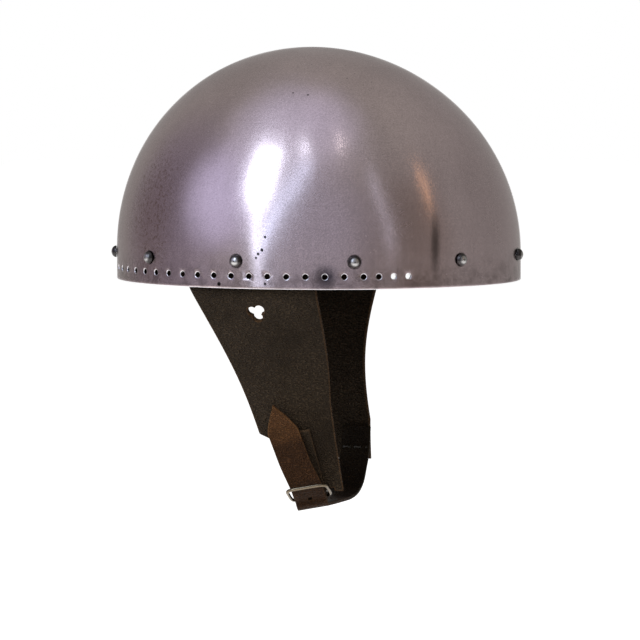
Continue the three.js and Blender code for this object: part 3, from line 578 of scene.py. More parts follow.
# Painted shade on the strap, darker towards its sewn end: each shade is full up to the first
# share of the strap's length and gone by the second.
STRAP_PAINTED_SHADES = ((0.86, 0.9, (0.5, 0.5, 0.54)), (0.2, 0.6, (0.32, 0.44, 0.52)))
# The lining is painted with shade up to a height, over a ragged band, so that the lacing holes
# look dark.
LINING_SHADE = Sizes(foot=13, top=20, ragged=6)
LINING_SHADE_TONE = (0.1, 0.085, 0.08)


def camera_axes():
    """The camera's way ahead, to its right and up, all square to each other."""
    ahead = Vector((
        math.cos(CAMERA_TURN) * math.cos(CAMERA_TILT),
        math.sin(CAMERA_TURN) * math.cos(CAMERA_TILT),
        -math.sin(CAMERA_TILT),
    ))
    right = Vector((math.sin(CAMERA_TURN), -math.cos(CAMERA_TURN), 0))
    return ahead, right, right.cross(ahead)


def mirrored_way(angle, height):
    """A place on the bowl, and the direction that it mirrors to the camera."""
    step = 1e-4
    place = wall_point(angle, height, 0)
    round_way = wall_point(angle + step, height, 0) - wall_point(angle - step, height, 0)
    up_way = wall_point(angle, height + step, 0) - wall_point(angle, height - step, 0)
    normal = round_way.cross(up_way).normalized()
    seen = (place + camera_axes()[0] * CAMERA_DISTANCE).normalized()
    return place, seen.reflect(normal)


# Mesh tools.


def join_mesh(bm, name, material):
    """Make an object of a finished bmesh."""
    mesh = bpy.data.meshes.new(name)
    bm.to_mesh(mesh)
    bm.free()
    mesh.materials.append(material)
    obj = bpy.data.objects.new(name, mesh)
    bpy.context.scene.collection.objects.link(obj)
    return obj


def settle(obj):
    """Turn an object's modifiers into its mesh."""
    depsgraph = bpy.context.evaluated_depsgraph_get()
    mesh = bpy.data.meshes.new_from_object(obj.evaluated_get(depsgraph))
    obj.modifiers.clear()
    old, obj.data = obj.data, mesh
    bpy.data.meshes.remove(old)
    obj.data.name = obj.name
    return obj


def stand_in(obj, body, slot_name, *nodes):
    """Let a finished piece stand for its solids and move with their body."""
    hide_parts(*nodes)
    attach(obj, body)


def drill(places, radius, depth, sides, bm=None):
    """Round cutters at places, each a middle and a direction."""
    bm = bm or bmesh.new()
    for middle, direction in places:
        turn = Vector((0, 0, 1)).rotation_difference(direction).to_matrix().to_4x4()
        bmesh.ops.create_cone(
            bm, cap_ends=True, segments=sides, radius1=radius, radius2=radius, depth=depth,
            matrix=Matrix.Translation(middle) @ turn,
        )
    return bm


def carve(obj, bm, union=False):
    """Cut the bmesh's closed forms out of an object, or join them to it."""
    mesh = bpy.data.meshes.new("cutter")
    bm.to_mesh(mesh)
    bm.free()
    cutter = bpy.data.objects.new("cutter", mesh)
    bpy.context.scene.collection.objects.link(cutter)
    carving = obj.modifiers.new("Carve", "BOOLEAN")
    carving.operation = "UNION" if union else "DIFFERENCE"
    carving.solver = "MANIFOLD"
    carving.object = cutter
    settle(obj)
    bpy.data.objects.remove(cutter)
    bpy.data.meshes.remove(mesh)
    return obj


def drop_folds(bm):
    """Split a mesh into triangles and delete pairs that lie back to back."""
    bmesh.ops.triangulate(bm, faces=bm.faces)
    bm.verts.index_update()
    by_corners = {}
    for face in bm.faces:
        by_corners.setdefault(frozenset(v.index for v in face.verts), []).append(face)
    folds = [face for faces in by_corners.values() if len(faces) > 1 for face in faces]
    bmesh.ops.delete(bm, geom=folds, context="FACES")


def sharp_edges(bm, angle):
    """The edges whose two faces meet at more than an angle in degrees."""
    limit = math.radians(angle)
    return [e for e in bm.edges if len(e.link_faces) == 2 and e.calc_face_angle(0) > limit]


def round_edges(bm, edges, width, segments=3):
    """Round some edges of a bmesh and give the new faces."""
    made = bmesh.ops.bevel(
        bm, geom=edges, offset=width, offset_type="OFFSET", segments=segments, profile=0.5,
        affect="EDGES", clamp_overlap=False, material=-1,
    )
    return made["faces"]


def smooth_faces(bm, angle):
    """Shade a bmesh smooth but for its sharp edges."""
    for face in bm.faces:
        face.smooth = True
    for edge in bm.edges:
        edge.smooth = True
    for edge in sharp_edges(bm, angle):
        edge.smooth = False


def mark_wear(bm, edges, reach):
    """Store on each vertex how near it lies to the worn edges, from 1 to 0."""
    points = [v.co.copy() for e in edges for v in e.verts]
    points += [(e.verts[0].co + e.verts[1].co) / 2 for e in edges]
    tree = kdtree.KDTree(len(points))
    for i, point in enumerate(points):
        tree.insert(point, i)
    tree.balance()
    layer = bm.verts.layers.float.get("edge_wear") or bm.verts.layers.float.new("edge_wear")

    def fill():
        """Write the layer for the vertices that the mesh has now."""
        for vertex in bm.verts:
            near = tree.find(vertex.co)[2]
            vertex[layer] = max(vertex[layer], math.exp(-((near / reach) ** 2)))

    return fill


def grid_over(surface, columns, rows):
    """A grid laid over a surface given by u and v from 0 to 1, with its uv map."""
    bm = bmesh.new()
    uv = bm.loops.layers.uv.new("lay")
    bmesh.ops.create_grid(bm, x_segments=columns, y_segments=rows, size=0.5)
    for face in bm.faces:
        for loop in face.loops:
            loop[uv].uv = (loop.vert.co.x + 0.5, 0.5 - loop.vert.co.y)
    for vertex in bm.verts:
        vertex.co = surface(vertex.co.x + 0.5, 0.5 - vertex.co.y)
    bmesh.ops.recalc_face_normals(bm, faces=bm.faces)
    return bm


def leather_piece(name, surface, grid, thickness, rounding, material, cuts=()):
    """A leather piece: a surface given its thickness, rounded edges, and its cut-outs."""
    obj = join_mesh(grid_over(surface, *grid), name, material)
    thicken = obj.modifiers.new("Thickness", "SOLIDIFY")
    thicken.thickness = thickness
    thicken.offset = 0
    thicken.use_even_offset = True
    settle(obj)
    for cutter in cuts:
        carve(obj, cutter)
    bm = bmesh.new()
    bm.from_mesh(obj.data)
    bmesh.ops.remove_doubles(bm, verts=bm.verts, dist=2e-6)
    edges = sharp_edges(bm, 45)
    wear = mark_wear(bm, edges, thickness * WEAR_SHARE)
    round_edges(bm, edges, rounding)
    wear()
    smooth_faces(bm, 60)
    bm.to_mesh(obj.data)
    bm.free()
    return obj


def turned_piece(name, profile, middle, direction, sides, material, smooth_angle=35):
    """A turned piece: a profile of radius and height spun round a direction."""
    bm = bmesh.new()
    verts = [bm.verts.new((radius, 0, height)) for radius, height in profile]
    edges = [bm.edges.new(pair) for pair in zip(verts, verts[1:])]
    bmesh.ops.spin(
        bm, geom=verts + edges, cent=(0, 0, 0), axis=(0, 0, 1), angle=math.tau, steps=sides,
        use_merge=True,
    )
    bmesh.ops.remove_doubles(bm, verts=bm.verts, dist=1e-7)
    bmesh.ops.recalc_face_normals(bm, faces=bm.faces)
    smooth_faces(bm, smooth_angle)
    layer = bm.verts.layers.float.new("from_middle")
    widest = max(radius for radius, _ in profile)
    for vertex in bm.verts:
        vertex[layer] = math.hypot(vertex.co.x, vertex.co.y) / widest
    turn = Vector((0, 0, 1)).rotation_difference(direction).to_matrix().to_4x4()
    bmesh.ops.transform(bm, matrix=Matrix.Translation(middle) @ turn, verts=bm.verts)
    return join_mesh(bm, name, material)


def dome_profile(radius, height, foot, first_turn, steps):
    """The profile of a rivet's dome above its foot, from a first turn in degrees to its top."""
    points = []
    for k in range(1, steps):
        angle = math.radians(first_turn + (90 - first_turn) * k / steps)
        points.append((radius * math.cos(angle), foot + height * math.sin(angle)))
    return points + [(0, foot + height)]


def wire_piece(name, points, radius, material, closed=False, sides=6, taper=None):
    """A round wire, thread or lace along points."""
    curve = bpy.data.curves.new(name, "CURVE")
    curve.dimensions = "3D"
    curve.bevel_depth = radius
    curve.bevel_resolution = sides
    curve.use_fill_caps = not closed
    spline = curve.splines.new("POLY")
    spline.points.add(len(points) - 1)
    for i, point in enumerate(points):
        spline.points[i].co = (*point, 1)
        if taper:
            spline.points[i].radius = taper(i / (len(points) - 1))
    spline.use_cyclic_u = closed
    line = bpy.data.objects.new(name + "_line", curve)
    bpy.context.scene.collection.objects.link(line)
    depsgraph = bpy.context.evaluated_depsgraph_get()
    mesh = bpy.data.meshes.new_from_object(line.evaluated_get(depsgraph))
    bpy.data.objects.remove(line)
    bpy.data.curves.remove(curve)
    bm = bmesh.new()
    bm.from_mesh(mesh)
    bpy.data.meshes.remove(mesh)
    bmesh.ops.remove_doubles(bm, verts=bm.verts, dist=1e-7)
    bmesh.ops.recalc_face_normals(bm, faces=bm.faces)
    smooth_faces(bm, 50)
    return join_mesh(bm, name, material)


# Node tools.


class NodeBench:
    """Adds nodes to a tree and links them."""

    def __init__(self, tree):
        self.tree = tree

    def add(self, kind, inputs=None, **settings):
        """Add a node, set it up and link or fill its inputs."""
        made = self.tree.nodes.new(kind)
        for name, value in settings.items():
            setattr(made, name, value)
        for name, value in (inputs or {}).items():
            self.put(made.inputs[name], value)
        return made

    def put(self, socket, value):
        """Link a socket to another, or give it a value."""
        if isinstance(value, bpy.types.NodeSocket):
            self.tree.links.new(value, socket)
        else:
            socket.default_value = value

    def math(self, operation, a, b=0.0, c=0.0, clamped=False):
        """A Math node's value."""
        inputs = {0: a, 1: b, 2: c}
        made = self.add("ShaderNodeMath", inputs, operation=operation, use_clamp=clamped)
        return made.outputs[0]

    def vector(self, operation, a, b=(0, 0, 0)):
        """A Vector Math node."""
        return self.add("ShaderNodeVectorMath", {0: a, 1: b}, operation=operation)

    def span(self, value, low, high, start=0.0, end=1.0):
        """Spread a value from one range to another, eased and held at the ends."""
        made = self.add(
            "ShaderNodeMapRange", {0: value, 1: low, 2: high, 3: start, 4: end},
            interpolation_type="SMOOTHSTEP",
        )
        return made.outputs[0]

    def noise(self, vector, scale, detail=3.0, rough=0.55):
        """A noise from 0 to 1."""
        made = self.add(
            "ShaderNodeTexNoise",
            {"Vector": vector, "Scale": scale, "Detail": detail, "Roughness": rough},
        )
        return made.outputs["Fac"]

    def cells(self, vector, scale, feature="F1", smooth=0.0):
        """A cell pattern's distance."""
        made = self.add("ShaderNodeTexVoronoi", feature=feature)
        self.put(made.inputs["Vector"], vector)
        self.put(made.inputs["Scale"], scale)
        if feature == "SMOOTH_F1":
            self.put(made.inputs["Smoothness"], smooth)
        return made.outputs["Distance"]

    def blend(self, factor, a, b, mode="MIX"):
        """Two colours mixed by a factor."""
        made = self.add("ShaderNodeMix", data_type="RGBA", blend_type=mode)
        self.put(made.inputs["Factor"], factor)
        for index, value in ((6, a), (7, b)):
            self.put(made.inputs[index], value)
        return made.outputs[2]

    def stretch(self, vector, scale):
        """A vector scaled along each axis."""
        return self.vector("MULTIPLY", vector, scale).outputs[0]


def colour(values):
    """A colour with its alpha."""
    return (*values[:3], 1.0)


def new_group(name, inputs, outputs):
    """A node group with named inputs and outputs, and its bench, input and output nodes."""
    tree = bpy.data.node_groups.new(name, "ShaderNodeTree")
    for kind, sockets in (("INPUT", inputs), ("OUTPUT", outputs)):
        for label, (socket_type, default) in sockets.items():
            made = tree.interface.new_socket(label, in_out=kind, socket_type=socket_type)
            if default is not None:
                made.default_value = default
    bench = NodeBench(tree)
    return bench, bench.add("NodeGroupInput"), bench.add("NodeGroupOutput")


FLOAT, VECTOR = "NodeSocketFloat", "NodeSocketVector"


def leather_grain_group():
    """Leather's pebbled grain, its creases and its patches of colour."""
    bench, given, out = new_group(
        "Leather Grain",
        {"Vector": (VECTOR, None), "Cell Scale": (FLOAT, 900.0), "Crease": (FLOAT, 0.3)},
        {
            "Height": (FLOAT, None), "Patches": (FLOAT, None), "Flecks": (FLOAT, None),
            "Hollows": (FLOAT, None),
        },
    )
    vector, scale = given.outputs["Vector"], given.outputs["Cell Scale"]
    flat = bench.stretch(vector, (1, 1, 1.8))
    pebbles = bench.cells(flat, scale, "SMOOTH_F1", 0.5)
    fine = bench.noise(flat, bench.math("MULTIPLY", scale, 1.6), 4.0, 0.7)
    crease = bench.math("SUBTRACT", bench.noise(vector, 75.0, 4.0, 0.6), 0.5)
    crease = bench.math("ABSOLUTE", crease)
    crease = bench.math("SUBTRACT", 1.0, bench.span(crease, 0.0, 0.03))
    crease = bench.math("MULTIPLY", crease, given.outputs["Crease"])
    hollows = bench.math("MAXIMUM", bench.span(pebbles, 0.3, 0.62), crease)
    bench.put(out.inputs["Hollows"], hollows)
    height = bench.math("MULTIPLY_ADD", hollows, -1.0, bench.math("MULTIPLY", fine, 0.9))
    bench.put(out.inputs["Height"], height)
    wander = bench.math("MULTIPLY", bench.noise(vector, 160.0, 2.0), 0.35)
    broad = bench.noise(vector, 26.0, 4.0, 0.6)
    bench.put(out.inputs["Patches"], bench.math("MULTIPLY_ADD", broad, 0.75, wander))
    bench.put(out.inputs["Flecks"], bench.span(fine, 0.56, 0.72))
    return bench.tree


def edge_wear_group():
    """A broken mask along the edges that the mesh marks as worn; on the bowl, also a painted
    highlight.
    """
    bench, given, out = new_group(
        "Edge Wear",
        {"Vector": (VECTOR, None), "Amount": (FLOAT, 1.0), "Breakup": (FLOAT, 0.5)},
        {"Mask": (FLOAT, None)},
    )
    wear = bench.add("ShaderNodeAttribute", attribute_name="edge_wear").outputs["Fac"]
    ragged = bench.noise(given.outputs["Vector"], 420.0, 4.0, 0.6)
    ragged = bench.math("MULTIPLY", bench.math("SUBTRACT", ragged, 0.5), given.outputs["Breakup"])
    mask = bench.span(bench.math("ADD", wear, ragged), 0.35, 0.8)
    bench.put(out.inputs["Mask"], bench.math("MULTIPLY", mask, given.outputs["Amount"]))
    return bench.tree


def steel_wear_group():
    """Steel's polishing lines, smudges, stains and pits."""
    bench, given, out = new_group(
        "Steel Wear",
        {"Vector": (VECTOR, None), "Line Scale": (FLOAT, 1.0), "Pits": (FLOAT, 1.0)},
        {
            "Lines": (FLOAT, None), "Smudges": (FLOAT, None), "Pits": (FLOAT, None),
            "Hairlines": (FLOAT, None), "Grain": (FLOAT, None), "Height": (FLOAT, None),
        },
    )
    vector = given.outputs["Vector"]
    grain = bench.noise(bench.stretch(vector, (1, 1, 1.7)), 1100.0, 3.0, 0.75)
    bench.put(out.inputs["Grain"], grain)
    scaled = bench.vector("SCALE", vector)
    bench.put(scaled.inputs["Scale"], given.outputs["Line Scale"])
    scaled = scaled.outputs[0]
    upright = bench.noise(bench.stretch(scaled, (520, 520, 26)), 1.0, 4.0, 0.6)
    level = bench.noise(bench.stretch(scaled, (36, 36, 900)), 1.0, 4.0, 0.6)
    level = bench.math("MULTIPLY", level, 0.4)
    lines = bench.math("ADD", bench.math("MULTIPLY", upright, 0.6), level)
    bench.put(out.inputs["Lines"], lines)
    smudges = bench.noise(bench.stretch(vector, (17, 17, 8)), 1.0, 5.0, 0.6)
    bench.put(out.inputs["Smudges"], smudges)
    hairlines = 0.0
    for turn in (0.55, 2.3):
        turned = bench.add("ShaderNodeVectorRotate", {"Vector": vector, "Angle": turn})
        turned.rotation_type = "X_AXIS"
        streaks = bench.noise(bench.stretch(turned.outputs[0], (90, 90, 2600)), 1.0, 2.0, 0.5)
        hairlines = bench.math("ADD", bench.span(streaks, 0.68, 0.74), hairlines)
    bench.put(out.inputs["Hairlines"], hairlines)
    where = bench.span(bench.noise(vector, 34.0, 3.0), 0.56, 0.72)
    spots = bench.span(bench.cells(vector, 300.0), 0.15, 0.06)
    pits = bench.math("MULTIPLY", bench.math("MULTIPLY", spots, where), given.outputs["Pits"])
    bench.put(out.inputs["Pits"], pits)
    rolling = bench.noise(vector, 24.0, 2.0, 0.5)
    height = bench.math("MULTIPLY_ADD", rolling, 1.0, bench.math("MULTIPLY", lines, 0.02))
    height = bench.math("MULTIPLY_ADD", grain, 0.02, height)
    height = bench.math("SUBTRACT", height, bench.math("MULTIPLY", pits, 0.08))
    bench.put(out.inputs["Height"], height)
    return bench.tree


def spot_group():
    """A ragged spot about a place, stretched along each axis."""
    bench, given, out = new_group(
        "Spot",
        {
            "Vector": (VECTOR, None), "Place": (VECTOR, (0, 0, 0)), "Stretch": (VECTOR, (1, 1, 1)),
            "Radius": (FLOAT, 0.001), "Ragged": (FLOAT, 0.4), "Soft": (FLOAT, 0.4),
        },
        {"Mask": (FLOAT, None)},
    )
    away = bench.vector("SUBTRACT", given.outputs["Vector"], given.outputs["Place"]).outputs[0]
    away = bench.vector("MULTIPLY", away, given.outputs["Stretch"]).outputs[0]
    distance = bench.vector("LENGTH", away).outputs["Value"]
    share = bench.math("DIVIDE", distance, given.outputs["Radius"])
    rough = bench.noise(given.outputs["Vector"], 900.0, 3.0, 0.6)
    rough = bench.math("MULTIPLY", bench.math("SUBTRACT", rough, 0.5), given.outputs["Ragged"])
    inner = bench.math("SUBTRACT", 1.0, given.outputs["Soft"])
    bench.put(out.inputs["Mask"], bench.span(bench.math("ADD", share, rough), 1.0, inner))
    return bench.tree


GROUPS = {}


def group(bench, name, inputs):
    """Place a shared node group in a material."""
    makers = {
        "Leather Grain": leather_grain_group, "Edge Wear": edge_wear_group,
        "Steel Wear": steel_wear_group, "Spot": spot_group,
    }
    if name not in GROUPS:
        GROUPS[name] = makers[name]()
    made = bench.add("ShaderNodeGroup", node_tree=GROUPS[name])
    for label, value in inputs.items():
        bench.put(made.inputs[label], value)
    return made


def new_material(name):
    """A material with its bench, its Principled shader and object coordinates."""
    material = bpy.data.materials.new(name)
    material.use_nodes = True
    bench = NodeBench(material.node_tree)
    shader = material.node_tree.nodes["Principled BSDF"]
    place = bench.add("ShaderNodeTexCoord").outputs["Object"]
    return material, bench, shader, place


def bump(bench, shader, height, distance, strength=1.0):
    """Feed a height into a shader's normal."""
    inputs = {"Height": height, "Strength": strength, "Distance": distance}
    made = bench.add("ShaderNodeBump", inputs)
    bench.put(shader.inputs["Normal"], made.outputs["Normal"])


def leather_material(name, base, edge, scale, depth, rough, patch=0.45, wear=1.0, crease=0.3):
    """Leather with grain, patches of colour and worn edges."""
    material, bench, shader, place = new_material(name)
    grain = group(bench, "Leather Grain", {"Vector": place, "Cell Scale": scale, "Crease": crease})
    edges = group(bench, "Edge Wear", {"Vector": place, "Amount": wear})
    dark = colour([c * (1 - patch) for c in base])
    light = colour([c * (1 + patch) for c in base])
    body = bench.blend(bench.span(grain.outputs["Patches"], 0.32, 0.78), dark, light)
    hollow = colour([c * 0.45 for c in base])
    body = bench.blend(bench.math("MULTIPLY", grain.outputs["Hollows"], 0.75), body, hollow)
    body = bench.blend(bench.math("MULTIPLY", grain.outputs["Flecks"], 0.3), body, colour(edge))
    finished = bench.blend(edges.outputs["Mask"], body, colour(edge))
    bench.put(shader.inputs["Base Color"], finished)
    gloss = bench.span(grain.outputs["Patches"], 0.3, 0.8, rough + 0.08, rough - 0.1)
    gloss = bench.math("MULTIPLY_ADD", edges.outputs["Mask"], 0.2, gloss, clamped=True)
    bench.put(shader.inputs["Roughness"], gloss)
    shader.inputs["Specular IOR Level"].default_value = 0.06
    bump(bench, shader, grain.outputs["Height"], depth)
    return material


def reopen(material):
    """A made material's bench, its shader, and what feeds the shader's colour."""
    bench = NodeBench(material.node_tree)
    shader = material.node_tree.nodes["Principled BSDF"]
    return bench, shader, shader.inputs["Base Color"].links[0].from_socket


def darken_end(material, map_name, start, end, tone):
    """Paint shade on a leather, darker towards one end of its map."""
    bench, shader, clean = reopen(material)
    lay = bench.add("ShaderNodeUVMap", uv_map=map_name).outputs["UV"]
    along = bench.add("ShaderNodeSeparateXYZ", {"Vector": lay}).outputs["Y"]
    shaded = bench.blend(1.0, clean, colour(tone), "MULTIPLY")
    tinted = bench.blend(bench.span(along, start, end), shaded, clean)
    bench.put(shader.inputs["Base Color"], tinted)


def tint_by(material, layer, start, end, tone, amount=1.0):
    """Blend a colour in where a layer of the mesh goes from start to end."""
    bench, shader, clean = reopen(material)
    value = bench.add("ShaderNodeAttribute", attribute_name=layer).outputs["Fac"]
    factor = bench.math("MULTIPLY", bench.span(value, start, end), amount)
    bench.put(shader.inputs["Base Color"], bench.blend(factor, clean, colour(tone)))


def steel_material(name, base, rough, line_scale=1.0, pits=1.0, rolling=0.0004, brushed=0.0):
    """Polished steel with fine lines, smudges and pits."""
    material, bench, shader, place = new_material(name)
    wear = group(bench, "Steel Wear", {"Vector": place, "Line Scale": line_scale, "Pits": pits})
    tone = bench.span(wear.outputs["Smudges"], 0.3, 0.72, 0.9, 1.08)
    tone = bench.math("SUBTRACT", tone, 0.12)
    tone = bench.math("MULTIPLY_ADD", wear.outputs["Lines"], 0.24, tone)
    tone = bench.math("SUBTRACT", tone, 0.5)
    tone = bench.math("ADD", wear.outputs["Grain"], tone)
    grey = bench.vector("SCALE", colour(base)[:3])
    bench.put(grey.inputs["Scale"], tone)
    dark = bench.blend(wear.outputs["Pits"], grey.outputs[0], colour(FLAW_TONE))
    bench.put(shader.inputs["Base Color"], dark)
    shader.inputs["Metallic"].default_value = 1.0
    gloss = bench.span(wear.outputs["Smudges"], 0.3, 0.75, rough + 0.07, rough - 0.05)
    gloss = bench.math("MULTIPLY_ADD", wear.outputs["Lines"], 0.06, gloss)
    gloss = bench.math("MULTIPLY_ADD", wear.outputs["Hairlines"], 0.02, gloss)
    gloss = bench.math("MULTIPLY_ADD", wear.outputs["Pits"], 0.4, gloss, clamped=True)
    bench.put(shader.inputs["Roughness"], gloss)
    bump(bench, shader, wear.outputs["Height"], rolling)
    if brushed:
        level = bench.add("ShaderNodeTangent", direction_type="RADIAL", axis="Z")
        bench.put(shader.inputs["Tangent"], level.outputs["Tangent"])
        shader.inputs["Anisotropic"].default_value = brushed
        shader.inputs["Anisotropic Rotation"].default_value = 0.25
    return material


# Settings.


class BowlSettings(PropertyGroup):
    """What a user would change on the steel bowl and its rivets."""

    steel: FloatVectorProperty(
        name="Steel", description="Colour of the bowl's steel", subtype="COLOR",
        default=(0.545, 0.438, 0.448), min=0, max=1,
    )
    roughness: FloatProperty(
        name="Roughness", description="How far the polish blurs", default=0.17, min=0.05, max=1
    )
    segments: IntProperty(
        name="Segments", description="Facets round the bowl", default=192, min=48, max=384
    )
    rim_rounding: FloatProperty(
        name="Rim rounding", description="Rounding of the rim's cut edges", default=0.00035,
        min=0.0001, max=0.0009, unit="LENGTH",
    )
    hole_rounding: FloatProperty(
        name="Hole rounding", description="Rounding of the holes' cut edges", default=0.0004,
        min=0.00005, max=0.0006, unit="LENGTH",
    )
    rivet_steel: FloatVectorProperty(
        name="Rivets", description="Colour of the dome rivets", subtype="COLOR",
        default=(0.46, 0.44, 0.43), min=0, max=1,
    )


class LeatherSettings(PropertyGroup):
    """What a user would change on the leather pieces."""

    flap: FloatVectorProperty(
        name="Flaps", description="Colour of the cheek flaps", subtype="COLOR",
        default=(0.044, 0.0295, 0.0175), min=0, max=1,
    )
    flap_edge: FloatVectorProperty(
        name="Flap edges", description="Colour of the flaps' cut edges", subtype="COLOR",
        default=(0.085, 0.047, 0.024), min=0, max=1,
    )
    strap: FloatVectorProperty(
        name="Strap", description="Colour of the chin strap", subtype="COLOR",
        default=(0.098, 0.043, 0.0165), min=0, max=1,
    )
    strap_edge: FloatVectorProperty(
        name="Strap edges", description="Colour of the strap's worn edges", subtype="COLOR",
        default=(0.15, 0.072, 0.03), min=0, max=1,
    )
    lining: FloatVectorProperty(
        name="Lining", description="Colour of the lining", subtype="COLOR",
        default=(0.20, 0.118, 0.062), min=0, max=1,
    )
    rounding: FloatProperty(
        name="Edge rounding", description="Rounding of the leather's cut edges",
        default=0.0005, min=0.0001, max=0.001, unit="LENGTH",
    )


class BuckleSettings(PropertyGroup):
    """What a user would change on the buckle."""

    steel: FloatVectorProperty(
        name="Wire", description="Colour of the buckle's wire", subtype="COLOR",
        default=(0.165, 0.13, 0.088), min=0, max=1,
    )
    roughness: FloatProperty(
        name="Roughness", description="How far the wire's polish blurs", default=0.17,
        min=0.05, max=1,
    )


class StageSettings(PropertyGroup):
    """The floor and the light."""

    floor: FloatVectorProperty(
        name="Floor", description="Colour of the floor", subtype="COLOR",
        default=(0.86, 0.86, 0.86), min=0, max=1,
    )
    floor_drop: FloatProperty(
        name="Floor drop", description="How far below the strap the floor lies",
        default=0.16, min=0, max=1, unit="LENGTH",
    )
    room: FloatProperty(
        name="Room light", description="Strength of the even light of the room", default=0.27,
        min=0, max=3,
    )
    key: FloatProperty(
        name="Key", description="Power of the soft lamp above the camera", default=30, min=0,
        max=200, unit="POWER",
    )
    window: FloatProperty(
        name="Window", description="Brightness of the window that the steel mirrors", default=2.9,
        min=0, max=30,
    )


# Operators.


class HELMET_OT_stage(Operator):
    """Set up the floor, the lights and the camera"""

    bl_idname = "helmet.stage"
    bl_label = "Stage"

    def execute(self, context):
        settings = context.scene.helmet_stage
        self.make_camera(context)
        self.make_floor(context, settings)
        self.make_world(context, settings)
        self.make_lights(context, settings)
        context.scene.view_settings.view_transform = "Standard"
        return {"FINISHED"}

    def make_camera(self, context):
        """The camera at the photograph's place and angle."""
        ahead, right, up = camera_axes()
        data = bpy.data.cameras.new("camera")
        data.lens = FOCAL_PIXELS / PHOTO_PIXELS * data.sensor_width
        data.clip_start, data.clip_end = 0.1, 50
        camera = bpy.data.objects.new("camera", data)
        context.scene.collection.objects.link(camera)
        camera.location = -ahead * CAMERA_DISTANCE
        across = (PHOTO_PIXELS / 2 - ORIGIN_PIXEL[0]) / FOCAL_PIXELS
        down = (PHOTO_PIXELS / 2 - ORIGIN_PIXEL[1]) / FOCAL_PIXELS
        aim = (ahead + right * across - up * down).normalized()
        side = aim.cross(up).normalized()
        upright = side.cross(aim)
        camera.rotation_mode = "QUATERNION"
        camera.rotation_quaternion = Matrix((side, upright, -aim)).transposed().to_quaternion()
        context.scene.camera = camera

    def make_floor(self, context, settings):
        """A pale floor that is seen as white but for the shadow on it."""
        low = CAD_BOX[0].z - settings.floor_drop
        bm = bmesh.new()
        bmesh.ops.create_grid(bm, x_segments=16, y_segments=4, size=0.5)
        length, width = FLOOR_FAR + FLOOR_NEAR, FLOOR_WIDTH
        bmesh.ops.scale(bm, vec=(length, width, 1), verts=bm.verts)
        bmesh.ops.translate(bm, vec=(length / 2 - FLOOR_NEAR, 0, low), verts=bm.verts)
        turn = Matrix.Rotation(CAMERA_TURN, 3, "Z")
        bmesh.ops.rotate(bm, cent=(0, 0, 0), matrix=turn, verts=bm.verts)
        material, bench, shader, place = new_material("Floor")
        shader.inputs["Roughness"].default_value = 0.9
        shader.inputs["Specular IOR Level"].default_value = 0.1
        mottle = bench.noise(place, 3.0, 2.0)
        low_tone, high_tone = (colour([c * k for c in settings.floor]) for k in (0.985, 1.0))
        bench.put(shader.inputs["Base Color"], bench.blend(mottle, low_tone, high_tone))
        path = bench.add("ShaderNodeLightPath").outputs
        seen = bench.math("MAXIMUM", path["Is Camera Ray"], path["Is Transmission Ray"])
        away = bench.vector("LENGTH", place).outputs["Value"]
        fade = (FLOOR_NEAR * FADE_START, FLOOR_NEAR * FADE_END)
        mirrored = bench.span(away, *fade, FLOOR_GLOW, ROOM_TONE[0])
        bench.put(shader.inputs["Emission Color"], (1, 1, 1, 1))
        glow = bench.math("MULTIPLY", path["Is Glossy Ray"], mirrored)
        glow = bench.math("MAXIMUM", glow, bench.math("MULTIPLY", seen, FLOOR_GLOW))
        bench.put(shader.inputs["Emission Strength"], glow)
        floor = join_mesh(bm, "floor", material)

    def make_world(self, context, settings):
        """Even light, a white background, and the room that the steel mirrors."""
        world = bpy.data.worlds.new("Room")
        context.scene.world = world
        world.use_nodes = True
        bench = NodeBench(world.node_tree)
        shader = world.node_tree.nodes["Background"]
        path = bench.add("ShaderNodeLightPath").outputs
        look = bench.add("ShaderNodeTexCoord").outputs["Generated"]
        room = (*ROOM_TONE, 1)
        for direction, width, tone in ROOM_PATCHES:
            towards = Vector(direction).normalized()
            near = bench.vector("DOT_PRODUCT", look, towards).outputs["Value"]
            near = bench.span(near, math.cos(math.radians(width)), 1.0)
            room = bench.blend(near, room, colour(tone))
        behind = bench.vector("DOT_PRODUCT", look, camera_axes()[0]).outputs["Value"]
        room = bench.blend(bench.span(behind, 0.96, 0.998), room, (1, 1, 1, 1))
        light = (settings.room, settings.room * 0.985, settings.room * 0.97, 1)
        shown = bench.blend(path["Is Glossy Ray"], light, room)
        clear = bench.math("MAXIMUM", path["Is Camera Ray"], path["Is Transmission Ray"])
        bench.put(shader.inputs["Color"], bench.blend(clear, shown, (1, 1, 1, 1)))
        shader.inputs["Strength"].default_value = 1.0

    def make_lights(self, context, settings):
        """The key lamp, and the lamps that the steel mirrors."""
        key = self.lamp(context, "key", KEY_WIDE, KEY_TALL, settings.key, (1, 0.98, 0.95))
        level = math.cos(KEY_RISE)
        away = Vector((
            math.sin(KEY_AROUND) * level, -math.cos(KEY_AROUND) * level, math.sin(KEY_RISE)
        ))
        self.hang(key, away * KEY_DISTANCE, away, 0)
        key.visible_glossy = False
        for name, way, height, wide, tall, turn, brightness, tint in MIRRORED_LAMPS:
            power = brightness * settings.window * math.pi * wide * tall
            lamp = self.lamp(context, name, wide, tall, power, tint)
            place, away = mirrored_way(math.radians(way), height * MM)
            self.hang(lamp, place + away * LAMP_DISTANCE, away, math.radians(turn))

    def lamp(self, context, name, wide, tall, power, tint):
        """An area lamp of a size, a power and a tint."""
        data = bpy.data.lights.new(name, "AREA")
        data.shape = "RECTANGLE"
        data.size, data.size_y = wide, tall
        data.energy = power
        data.color = tint
        lamp = bpy.data.objects.new(name, data)
        context.scene.collection.objects.link(lamp)
        return lamp

